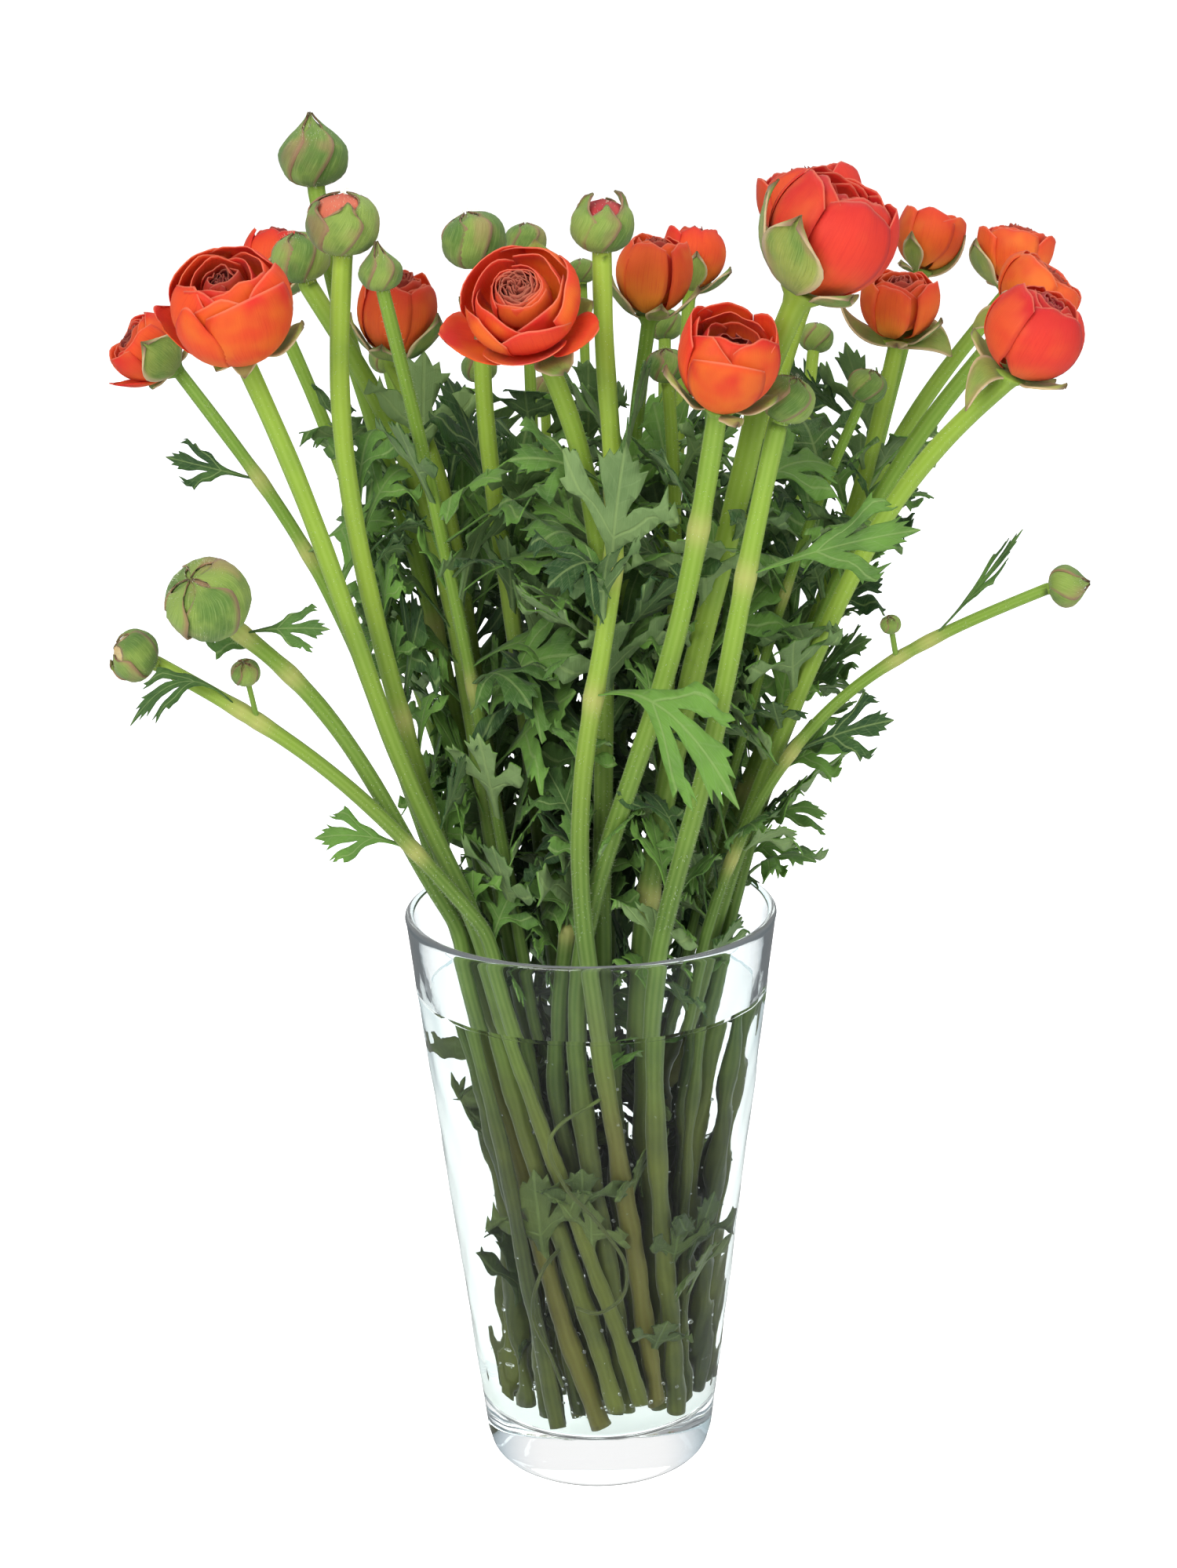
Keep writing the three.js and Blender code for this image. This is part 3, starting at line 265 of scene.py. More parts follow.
UNDERGROWTH = dict(
    seed=47, each=5, tries=16, low=150, high=240, heading=ALL_ROUND, length=(44, 20), width=(6.2, 3),
    rise=(46, 88), droop=(0, 0.5), room=(-2, 1, 0.6), inside=EVENLY)
PRESSED = dict(
    seed=58, each=3, tries=30, low=22, high=128, heading=(200, 340), length=(46, 22), width=(7.6, 4.4),
    rise=(60, 94), droop=(-0.2, 0.3), room=(-2.6, 1, 0.5), inside=EVENLY, glass=0.95)
LEAF_RULES = (GROWN, SUNKEN, FRONT, FOLIAGE, UNDERGROWTH, PRESSED)

# Where the other random draws start: the bubbles, and each leaf blank, plant and bloom from here up.
SEEDS = {"bubbles": 5, "leaf": 100, "plant": 1000, "bloom": 2000}

# Thin leaf stalks that curl through the water in front of the stems: the stem they grow from, the
# height there, and the places (x, z) where they pass close behind the glass.
STRANDS = {
    "tall_centre": (150, [(-14, 136), (-10, 119), (1, 104), (9, 88), (8, 76), (0, 70), (-7, 72)]),
    "left_cup": (92, [(-18, 84), (-21, 66), (-15, 50), (-12, 40)]),
}

# Half of a leaf's cut outline: (share of the length, share of the half width). The named corners
# carry the solid leaf, and LEAF_EDGE runs through them with the teeth between.
RIB = {"root": 0, "fork": 0.42, "heart": 0.66, "upper": 0.86, "tip": 1}
OUTLINE = {
    "foot": (0, 0.3), "neck": (0.36, 0.46), "lobe_low": (0.6, 2.5), "lobe_tip": (0.8, 3.3),
    "lobe_high": (0.75, 2.0), "lobe_rib": (0.63, 1.85), "notch": (0.57, 0.6), "tooth": (0.85, 1.3),
}
HALF_LEAF = [
    ("root", "fork", "foot"), ("foot", "fork", "neck"), ("neck", "fork", "lobe_rib"),
    ("neck", "lobe_rib", "lobe_low"), ("lobe_low", "lobe_rib", "lobe_tip"),
    ("lobe_tip", "lobe_rib", "lobe_high"), ("lobe_high", "lobe_rib", "notch"),
    ("lobe_rib", "fork", "notch"), ("fork", "heart", "notch"), ("notch", "heart", "tooth"),
    ("heart", "upper", "tooth"), ("tooth", "upper", "tip"),
]
LEAF_EDGE = [
    (0, 0.3), (0.1, 0.25), (0.2, 0.25), (0.29, 0.32), (0.36, 0.46), (0.42, 0.8), (0.48, 1.28), (0.54, 1.86),
    (0.6, 2.5), (0.66, 2.86), (0.72, 3.36), (0.735, 2.98), (0.8, 3.3), (0.85, 3.24), (0.81, 2.78),
    (0.87, 2.6), (0.8, 2.28), (0.75, 2.0), (0.7, 1.52), (0.63, 1.02), (0.57, 0.6), (0.61, 0.6), (0.68, 0.78),
    (0.77, 1.06), (0.85, 1.3), (0.905, 1.42), (0.88, 1.0), (0.97, 0.86), (0.93, 0.52), (0.985, 0.26),
    (1.03, 0.04),
]
LEAF_SIZE = (46, 5.4)                       # length and half width of a leaf blank
LEAF_CELL = 2.6                             # spacing of its inner points
LEAF_SLIM = (1.0, 0.82, 0.92, 0.68, 1.05)   # how wide the lobes of each kind of blank are
LEAF_UV_WIDTH = 8 * LEAF_SIZE[1]            # a blank's UV runs from 0 to 1 over this width

# The last rings of a stem, which carry its head: their heights over its centre, for its reach, and
# their radii, for its radius.
NECK_RINGS = {
    "bloom": ((-1.16, 0.24), (-1.06, 0.34), (-1.0, 0.36)),
    "bud": ((-1.0, 0.2), (-0.9, 0.26), (-0.8, 0.3)),
}
JOINT = 4.5         # half the length of the swelling where a leaf or a side bud grows
PETALS_AROUND = (5, 4, 3, 4)                # petals in each of the outside layers, from the outmost
HEART_PETALS = 3
BUD_SEPALS = (64, 44, 60, 46, 50)           # half widths of a bud's sepals, in degrees
BUD_PROFILE = [(0, -1.0), (0.5, -0.9), (0.83, -0.66), (0.97, -0.33), (1, 0), (0.98, 0.29), (0.88, 0.54),
               (0.68, 0.74), (0.42, 0.86), (0.16, 0.93), (0.02, 1.0)]
BUD_REACH = 0.92    # a bud is a little flatter than round
BUBBLES = 40        # tries for each stem

# The stage, in metres: the lights' places and widths, where they aim, and the camera's view in
# degrees, lens in millimetres and place.
LIGHTS = {"key": ((-0.7, -1.3, 1.1), 1.0), "fill": ((1.0, -0.9, 0.8), 1.0), "top": ((0.3, 0.2, 1.5), 1.2)}
LIGHTS_AIM = (0, 0, 0.28)
CAMERA = {"pitch": 15.65, "roll": 1.03, "lens": 62.92, "place": (0, -0.885, 0.491)}


# ---------------------------------------------------------------- small maths

def lerp(a, b, t):
    return a + (b - a) * t


def unit(v):
    return v / np.linalg.norm(v)


def smooth(x, low, high):
    t = np.clip((x - low) / (high - low), 0, 1)
    return t * t * (3 - 2 * t)


def random_from(seed):
    """Seeded random numbers from 0 to 1."""
    full = 0xFFFFFFFF
    state = seed & full
    while True:
        state = (state + 0x6D2B79F5) & full
        t = ((state ^ (state >> 15)) * (1 | state)) & full
        t = ((t + (t ^ (t >> 7)) * (61 | t)) & full) ^ t
        yield ((t ^ (t >> 14)) & full) / 4294967296


def cross_axes(axis):
    """Two directions square to an axis and to each other."""
    hint = np.array([0.0, 0, 1]) if abs(axis[2]) < 0.9 else np.array([0.0, -1, 0])
    side = unit(np.cross(hint, axis))
    return side, unit(np.cross(axis, side))


def wall_radius(z):
    return lerp(VASE["foot_radius"], VASE["rim_radius"], z / VASE["height"])


def inner_radius(z):
    return wall_radius(z) - VASE["wall"] - np.maximum(VASE["floor"] + VASE["fillet"] - z, 0)


class Head:
    """Where a bloom or a bud is, and the directions round its axis."""

    def __init__(self, plant):
        self.centre = np.array(plant["centre"], float)
        self.axis = unit(np.array(plant["face"], float))
        self.radius = plant["across"] / 2
        self.reach = self.radius * plant.get("tall", 1)
        self.seat = SEAT["bloom" if "close" in plant else "bud"] * self.reach
        self.side, self.front = cross_axes(self.axis)

    def at(self, out, turn, up):
        """Points at distances from the axis, turned round it, at heights over the centre."""
        points = self.centre + np.multiply.outer(up, self.axis)
        points = points + np.multiply.outer(out * np.cos(turn), self.side)
        return points + np.multiply.outer(out * np.sin(turn), self.front)


# ---------------------------------------------------------------- settling the stems

def drawn_route(plant, number):
    """A stem's points from its foot up to its head."""
    points = [np.array(p, float) for p in plant["route"]]
    if "centre" in plant:
        head = Head(plant)
        top = head.centre - head.axis * head.seat
        points = [top, top + NECK * unit(unit(points[0] - top) - head.axis)] + points
    mouth = points[-1]
    turn = math.radians(FOOT["turn"] + FOOT["sway"] * math.sin(2.4 * number))
    x, y = mouth[0] * FOOT["spread"], mouth[1] * FOOT["spread"]
    c, s = math.cos(turn), math.sin(turn)
    lift = FOOT["lift"] * max(math.sin(1.9 * number), 0)
    foot = np.array([x * c - y * s, x * s + y * c, VASE["floor"] + 1.2 + lift])
    middle = lerp(foot, mouth, 0.5) * (FOOT["waist"], FOOT["waist"], 1)
    points += [middle, foot]
    return points[::-1]


def curve_through(points, places):
    """Points of a centripetal curve through points, at places from 0 to len(points) - 1."""
    ends = [2 * points[0] - points[1], *points, 2 * points[-1] - points[-2]]
    found = []
    for place in places:
        i = min(int(place), len(points) - 2)
        w = place - i
        a, b, c, d = ends[i:i + 4]
        ta, tb, tc = (np.sum((q - p) ** 2) ** 0.25 for p, q in ((a, b), (b, c), (c, d)))
        start = ((b - a) / ta - (c - a) / (ta + tb) + (c - b) / tb) * tb
        stop = ((c - b) / tb - (d - b) / (tb + tc) + (d - c) / tc) * tb
        square = -3 * b + 3 * c - 2 * start - stop
        cube = 2 * b - 2 * c + start + stop
        found.append(b + start * w + square * w * w + cube * w ** 3)
    return np.array(found)


def spaced_points(points, step, divisions=200):
    """Evenly spaced points on the curve through points, about a step apart."""
    places = np.linspace(0, len(points) - 1, divisions + 1)
    fine = curve_through(points, places)
    lengths = np.concatenate([[0], np.cumsum(np.linalg.norm(np.diff(fine, axis=0), axis=1))])
    count = math.floor(lengths[-1] / step + 0.5)
    return curve_through(points, np.interp(np.linspace(0, lengths[-1], count + 1), lengths, places))


def near_pairs(at, ids, radii, stem_points):
    """Pairs of points of different plants that lie near each other."""
    pairs = []
    for a in range(0, stem_points, 400):
        rows = slice(a, min(a + 400, stem_points))
        apart = at[rows, None, :] - at[None, :, :]
        far = np.einsum("ijk,ijk->ij", apart, apart)
        reach = radii[rows, None] + radii[None, :] + SETTLE["near"]
        near = (far < reach * reach) & (ids[rows, None] != ids[None, :])
        i, j = np.nonzero(near)
        i = i + a
        pairs.append(np.stack([i[j > i], j[j > i]], axis=1))
    return np.concatenate(pairs)


def settle(plants):
    """The stems' points once they lie clear of each other, of the heads and of the glass."""
    routes = [spaced_points(drawn_route(plant, i), SETTLE["step"]) for i, plant in enumerate(plants)]
    heads = [(i, Head(plant)) for i, plant in enumerate(plants) if "centre" in plant]
    ids = np.concatenate([np.full(len(r), i) for i, r in enumerate(routes)] + [[i for i, _ in heads]])
    radii = np.concatenate([np.full(len(r), float(plants[i]["stem"])) for i, r in enumerate(routes)]
                           + [[head.radius * 1.08 for _, head in heads]])
    at = np.concatenate(routes + [[head.centre for _, head in heads]])
    stem_points = sum(len(r) for r in routes)
    place = np.concatenate([np.arange(len(r)) for r in routes])
    count = np.concatenate([np.full(len(r), len(r) - 1) for r in routes])
    headed = np.array(["centre" in plants[i] for i in ids[:stem_points]])
    free = ~(headed & (place == count))
    first, inner = place == 0, (place > 0) & (place < count)
    home = at[:stem_points].copy()
    for turn in range(SETTLE["rounds"]):
        if turn % 10 == 0:
            pairs = near_pairs(at, ids, radii, stem_points)
        shift = np.zeros_like(at)
        a, b = pairs[:, 0], pairs[:, 1]
        apart = at[a] - at[b]
        length = np.linalg.norm(apart, axis=1)
        short = radii[a] + radii[b] + SETTLE["clear"] - length
        push = apart * (np.maximum(short, 0) * 0.3 / length)[:, None]
        np.add.at(shift, a, push)
        np.subtract.at(shift, b, push)
        loose = turn < SETTLE["loosen"]
        stems = at[:stem_points]
        middle = np.zeros_like(stems)
        middle[1:-1] = (stems[:-2] + stems[2:]) / 2
        shift = shift[:stem_points]
        shift[inner] += (middle - stems)[inner] * (SETTLE["smooth"] if loose else SETTLE["firm"])
        shift += (home - stems) * (SETTLE["pull"] if loose else 0)
        moved = stems + shift * free[:, None]
        moved[first, 2] = home[first, 2]
        out = np.hypot(moved[:, 0], moved[:, 1])
        most = inner_radius(np.minimum(moved[:, 2], VASE["height"])) - radii[:stem_points] - SETTLE["clear"]
        tight = free & (moved[:, 2] <= VASE["height"] + 8) & (out > most)
        moved[tight, :2] *= (most / out)[tight, None]
        at[:stem_points] = moved
    return [at[:stem_points][ids[:stem_points] == i] for i in range(len(plants))]


# ---------------------------------------------------------------- growing the leaves

def leaf_points(root, leaf, along, across):
    """Points of a leaf's surface. Its rib is a bow in one upright plane, and its halves droop."""
    heading, rise = math.radians(leaf["heading"]), math.radians(leaf["rise"])
    flat = math.cos(rise)
    out = np.array([math.cos(heading) * flat, math.sin(heading) * flat, math.sin(rise)])
    side = np.array([-math.sin(heading), math.cos(heading), 0])
    points = root + np.multiply.outer(leaf["length"] * along, out) + np.multiply.outer(across, side)
    points[..., 2] -= leaf["droop"] * leaf["length"] * along * along
    points[..., 2] -= LEAF_FOLD * across * across / leaf["length"]
    return points


def leaf_samples():
    """Corners of a leaf's triangles as (along, share), and the triangles."""
    names, corners = {}, []
    for name, along in RIB.items():
        names[name] = len(corners)
        corners.append((along, 0.0))
    triangles = []
    for hand in (1, -1):
        for name, (along, share) in OUTLINE.items():
            names[name, hand] = len(corners)
            corners.append((along, share * hand))
        for triangle in HALF_LEAF:
            triangles.append([names[name] if name in RIB else names[name, hand] for name in triangle])
    return np.array(corners), np.array(triangles)


class Growth:
    """Leaves that have found room among the stems and the heads."""

    def __init__(self, plants, stems):
        self.plants, self.stems, self.leaves = plants, stems, []
        self.index = {plant["name"]: i for i, plant in enumerate(plants)}
        self.points = np.concatenate(stems)
        self.owner = np.concatenate([np.full(len(points), i) for i, points in enumerate(stems)])
        self.radii = np.array([plants[i]["stem"] for i in self.owner], float)
        heads = [Head(plant) for plant in plants if "centre" in plant]
        sides = [side for plant in plants for side in plant.get("side", ())]
        self.centres = np.array([head.centre for head in heads] + [side[1] for side in sides], float)
        self.spheres = np.array([head.radius for head in heads] + [side[2] / 2 for side in sides])
        self.placed = np.zeros((0, 3))
        self.corners, self.triangles = leaf_samples()

    def root(self, plant, height):
        stem = self.stems[plant]
        return stem[np.argmin(np.abs(stem[:, 2] - height))]

    def samples(self, root, leaf):
        along, share = self.corners.T
        p, q, r = np.moveaxis(leaf_points(root, leaf, along, share * leaf["width"])[self.triangles], 1, 0)
        return np.concatenate([p, q, r, (p + q) / 2, (q + r) / 2, (r + p) / 2])

    def lies_within(self, points, rule, bound):
        """Whether a leaf lies within the bunch, and in the water or clear of it and of the glass."""
        x, y, z = points.T
        out = np.hypot(x, y)
        level, wall = LEAF_CLEAR["level"], LEAF_CLEAR["wall"]
        if bound:
            right, narrow, back, front = rule["inside"]
            held = np.hypot((x - right) * narrow, y * np.where(y < 0, front, back))
            if (held > BUNCH["radius"] + BUNCH["spread"] * (z - VASE["height"])).any():
                return False
        if "glass" in rule:
            high_or_low = z.max() > WATER_LEVEL - level or z.min() < VASE["floor"] + wall
            return not (high_or_low or (out > rule["glass"] * inner_radius(z)).any())
        if rule is UNDERGROWTH:
            mouth = np.minimum(z, VASE["height"])
        elif (z < WATER_LEVEL + level).any():
            return False
        else:
            mouth = VASE["height"]
        return not ((z < VASE["height"] + level) & (out > inner_radius(mouth) - wall)).any()

    def fits(self, plant, root, leaf, rule, bound):
        """The points of a leaf that misses the stems, its own beyond its root, the heads, the other
        leaves and the glass, or None."""
        stem_room, head_room, leaf_room = rule["room"]
        points = self.samples(root, leaf)
        if not self.lies_within(points, rule, bound):
            return None
        low, high = points.min(axis=0) - LEAF_CLEAR["search"], points.max(axis=0) + LEAF_CLEAR["search"]
        near = ((self.points > low) & (self.points < high)).all(axis=1)
        own = np.linalg.norm(points - root, axis=1) < self.plants[plant]["stem"] + OWN_STEM
        apart = np.sum((points[:, None] - self.points[None, near]) ** 2, axis=2)
        touching = apart < (self.radii[near] + stem_room) ** 2 + LEAF_CLEAR["gap"] ** 2
        touching &= ~(own[:, None] & (self.owner[near] == plant)[None, :])
        if touching.any():
            return None
        apart = np.linalg.norm(points[:, None] - self.centres[None], axis=2)
        if (apart < self.spheres * HEAD_CLEAR + head_room).any():
            return None
        near = ((self.placed > low) & (self.placed < high)).all(axis=1)
        apart = np.sum((points[:, None] - self.placed[None, near]) ** 2, axis=2)
        return None if (apart < leaf_room ** 2).any() else points

    def keep(self, plant, leaf, rule, bound):
        root = self.root(plant, leaf["at"])
        points = self.fits(plant, root, leaf, rule, bound)
        if points is None:
            return False
        self.placed = np.concatenate([self.placed, points])
        past = points[:, 1].max() > BUNCH["back"]
        self.leaves.append({**leaf, "plant": plant, "root": root, "rule": rule, "past": past})
        return True

    def choose(self):
        for on, at, heading, rise, length, width, droop in CHOSEN_LEAVES:
            for nudge in NUDGES:
                leaf = dict(at=at, heading=heading + nudge, rise=rise, length=length, width=width,
                            droop=droop, chosen=True)
                if self.keep(self.index[on], leaf, GROWN, bound=False):
                    break

    def grow(self, rule):
        draw = random_from(rule["seed"])
        for plant in list(range(len(self.plants))) * rule["each"]:
            for attempt in range(rule["tries"]):
                share = attempt / rule["tries"]
                leaf = dict(at=lerp(rule["low"], rule["high"], next(draw)),
                            heading=lerp(*rule["heading"], next(draw)), rise=lerp(*rule["rise"], next(draw)),
                            length=lerp(*rule["length"], share), width=lerp(*rule["width"], share),
                            droop=lerp(*rule["droop"], next(draw)))
                if self.keep(plant, leaf, rule, bound="glass" not in rule):
                    break


@functools.cache
def bouquet():
    """All plants with their settled stems and their leaves."""
    plants = [*FLOWERS, *BUDS, STUB]
    growth = Growth(plants, settle(plants))
    growth.choose()
    for rule in LEAF_RULES:
        growth.grow(rule)
    return growth


# ---------------------------------------------------------------- modelling tools

def select(*pieces):
    bpy.ops.object.select_all(action="DESELECT")
    for piece in pieces:
        piece.select_set(True)
    bpy.context.view_layer.objects.active = pieces[0] if pieces else None


def apply_modifier(piece, kind, **settings):
    select(piece)
    modifier = piece.modifiers.new(kind.lower(), kind)
    for name, value in settings.items():
        setattr(modifier, name, value)
    bpy.ops.object.modifier_apply(modifier=modifier.name)


def join(pieces, name):
    select(*pieces)
    if len(pieces) > 1:
        bpy.ops.object.join()
    pieces[0].name = name
    pieces[0].data.name = name
    return pieces[0]


def in_edit_mode(piece, *steps):
    """Runs edit mode steps on all of a piece."""
    select(piece)
    bpy.ops.object.mode_set(mode="EDIT")
    bpy.ops.mesh.select_all(action="SELECT")
    for step in steps:
        step()
    bpy.ops.object.mode_set(mode="OBJECT")


def merge_seam():
    bpy.ops.mesh.remove_doubles(threshold=1e-6)


def face_outwards():
    bpy.ops.mesh.normals_make_consistent(inside=False)


def close_ends():
    bpy.ops.mesh.select_all(action="DESELECT")
    bpy.ops.mesh.select_non_manifold()
    bpy.ops.mesh.fill_holes(sides=0)
    bpy.ops.mesh.select_all(action="SELECT")


def close_tube(piece):
    """Turns a grid that was wrapped round into a closed body."""
    in_edit_mode(piece, merge_seam, close_ends, face_outwards)


def new_piece(name, mesh):
    piece = bpy.data.objects.new(name, mesh)
    bpy.context.collection.objects.link(piece)
    return piece


def keep_attribute(mesh, name, values):
    layer = mesh.attributes.get(name) or mesh.attributes.new(name, "FLOAT", "POINT")
    layer.data.foreach_set("value", np.broadcast_to(values, len(mesh.vertices)).astype(np.float32))


def points_of(mesh):
    points = np.empty(len(mesh.vertices) * 3)
    mesh.vertices.foreach_get("co", points)
    return points.reshape(-1, 3)


def move_points(mesh, points):
    mesh.vertices.foreach_set("co", (np.asarray(points) * MM).astype(np.float32).ravel())
    mesh.update()


@functools.cache
def flat_grid(columns, rows):
    """A flat grid from (0, 0) to (1, 1), the blank of every petal, sepal and stem."""
    select()
    bpy.ops.mesh.primitive_grid_add(x_subdivisions=columns, y_subdivisions=rows, size=1)
    blank = bpy.context.object
    select(blank)
    bpy.ops.object.shade_smooth()
    mesh = blank.data
    bpy.data.objects.remove(blank)
    u, v = (points_of(mesh)[:, :2] + 0.5).T
    return mesh, u, v


def copy_of(mesh, name, points, looks, **attributes):
    """A piece with its own copy of a mesh, its points moved, and its numbers for the materials."""
    own = mesh.copy()
    own.name = name
    move_points(own, points)
    for key, values in attributes.items():
        keep_attribute(own, key, values)
    own.materials.clear()
    for look in looks:
        own.materials.append(look)
    return new_piece(name, own)


def extruded_body(name, profile, sides):
    """A round body about the vase's axis: a disc extruded ring by ring through a profile."""
    select()
    (radius, height), *rest = profile
    bpy.ops.mesh.primitive_circle_add(vertices=sides, radius=radius * MM, fill_type="NGON",
                                      location=(0, 0, height * MM))
    piece = bpy.context.object
    piece.name = name
    bpy.ops.object.transform_apply(location=True, rotation=False, scale=False)
    bpy.ops.object.mode_set(mode="EDIT")
    for out, up in rest:
        bpy.ops.mesh.extrude_region_move(TRANSFORM_OT_translate={"value": (0, 0, (up - height) * MM)})
        bpy.ops.transform.resize(value=(out / radius, out / radius, 1))
        radius, height = out, up
    bpy.ops.object.mode_set(mode="OBJECT")
    in_edit_mode(piece, face_outwards)
    return piece


def finish_piece(piece, node, slot, *looks):
    """Seats a finished piece in the frame: its body and the node that it stands for. The slot argument is not
    used.
    """
    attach(piece, "root")
    if node:
        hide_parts(node)
    for look in looks:
        piece.data.materials.append(look)
    return piece


# ---------------------------------------------------------------- shader tools

class Value:
    """A number or colour that varies over a surface. Arithmetic on it adds Math nodes."""

    def __init__(self, look, socket):
        self.look, self.socket = look, socket

    def math(self, operation, *others):
        return self.look.math(operation, self, *others)

    def __add__(self, other):
        return self.math("ADD", other)

    def __mul__(self, other):
        return self.math("MULTIPLY", other)

    def __sub__(self, other):
        return self.math("SUBTRACT", other)

    def __rsub__(self, other):
        return self.look.math("SUBTRACT", other, self)

    def __truediv__(self, other):
        return self.math("DIVIDE", other)

    def __rtruediv__(self, other):
        return self.look.math("DIVIDE", other, self)

    __radd__ = __add__
    __rmul__ = __mul__

    def smooth(self, low, high):
        """0 below low and 1 above high, with a soft step between."""
        settings = {"interpolation_type": "SMOOTHSTEP"}
        return self.look.node("ShaderNodeMapRange", settings, {0: self, 1: low, 2: high})


class Look:
    """A material or world and its nodes."""

    def __init__(self, name, holder=None):
        self.holder = holder or bpy.data.materials.new(name)
        self.holder.use_nodes = True
        self.tree = self.holder.node_tree
        self.tree.nodes.clear()

    def node(self, kind, settings=None, inputs=None, output=0):
        made = self.tree.nodes.new(kind)
        for name, value in (settings or {}).items():
            setattr(made, name, value)
        for name, value in (inputs or {}).items():
            if isinstance(value, Value):
                self.tree.links.new(value.socket, made.inputs[name])
            else:
                made.inputs[name].default_value = value
        return Value(self, made.outputs[output]) if made.outputs else None

    def math(self, operation, *values):
        return self.node("ShaderNodeMath", {"operation": operation}, dict(enumerate(values)))

    def mix(self, factor, a, b):
        """A colour between two colours."""
        inputs = {0: factor, 6: a, 7: b}
        return self.node("ShaderNodeMix", {"data_type": "RGBA", "clamp_factor": True}, inputs, output=2)

    def coats(self, shade, *coats):
        """A colour with others laid over it in turn, each as far as its factor says."""
        for factor, over in coats:
            shade = self.mix(factor, shade, over)
        return shade

    def attribute(self, name):
        return self.node("ShaderNodeAttribute", {"attribute_name": name}, output=2)

    def split(self, vector):
        """The three numbers of a vector."""
        parts = self.node("ShaderNodeSeparateXYZ", None, {0: vector}).socket.node
        return [Value(self, output) for output in parts.outputs]

    def uv(self):
        """The place on the UV map and its two numbers."""
        found = self.node("ShaderNodeUVMap", {"uv_map": "UVMap"})
        return found, *self.split(found)[:2]

    def place(self):
        return self.node("ShaderNodeTexCoord", output="Object")

    def painted_shade_in_bunch(self):
        """Where painted shade goes: 1 deep among the stems and leaves, 0 at the outside and near the top of
        the bunch.
        """
        x, y, z = self.split(self.place())
        out = (x * x + y * y).math("SQRT")
        return (1 - (out - z * 0.12).smooth(-0.012, 0.034)) * (1 - z.smooth(0.27, 0.37))

    def ray(self, kind):
        return self.node("ShaderNodeLightPath", output=kind)

    def mirrored(self):
        """1 for a ray off a gloss, or off the inner face of a glass wall, which is the third it meets."""
        third = self.ray("Ray Depth").math("COMPARE", 3.0, 0.5)
        return self.ray("Is Reflection Ray").math("MAXIMUM", third) * (1 - self.ray("Is Diffuse Ray"))

    def stretched(self, vector, scale):
        return self.node("ShaderNodeMapping", None, {"Vector": vector, "Scale": scale})

    def noise(self, vector, scale, detail=2.0, roughness=0.5):
        inputs = {"Vector": vector, "Scale": scale, "Detail": detail, "Roughness": roughness}
        return self.node("ShaderNodeTexNoise", None, inputs)

    def bump(self, height, strength, distance):
        inputs = {"Height": height, "Strength": strength, "Distance": distance}
        return self.node("ShaderNodeBump", None, inputs)

    def shader(self, **sockets):
        inputs = {name.replace("_", " "): value for name, value in sockets.items()}
        return self.node("ShaderNodeBsdfPrincipled", None, inputs)

    def mixed(self, factor, first, second):
        return self.node("ShaderNodeMixShader", None, {0: factor, 1: first, 2: second})

    def lit_through(self, factor, surface, colour):
        """A thin surface that lets some light through."""
        return self.mixed(factor, surface, self.node("ShaderNodeBsdfTranslucent", None, {0: colour}))

    def done(self, shader):
        self.node("ShaderNodeOutputMaterial", None, {0: shader})
        return self.holder


def colour(red, green, blue):
    """A linear colour from its 0 to 255 values."""
    return (*((c / 12.92 if c <= 0.04045 else ((c + 0.055) / 1.055) ** 2.4)
              for c in (red / 255, green / 255, blue / 255)), 1.0)


# ---------------------------------------------------------------- materials

@functools.cache
def clear_look(name, ior, tint, longest=64.0):
    """Clear glass or water. The light on its way to what stands in it goes straight through, and so,
    a little dimmed, does light that has met more faces than longest."""
    look = Look(name)
    through = look.ray("Is Shadow Ray").math("MAXIMUM", look.ray("Is Diffuse Ray"))
    spent = look.ray("Ray Depth").math("GREATER_THAN", longest)
    straight = look.node("ShaderNodeBsdfTransparent", None, {0: tint})
    dimmed = look.node("ShaderNodeBsdfTransparent", None, {0: colour(241, 245, 246)})
    bent = look.shader(Base_Color=tint, Roughness=0.0, IOR=ior, Transmission_Weight=1.0)
    return look.done(look.mixed(through, look.mixed(spent, bent, dimmed), straight))


def glass_look():
    return clear_look("clear glass", 1.45, colour(254, 255, 255), longest=3.5)


def wet_glass_look():
    return clear_look("glass against water", 1.45 / 1.333, colour(254, 255, 255))


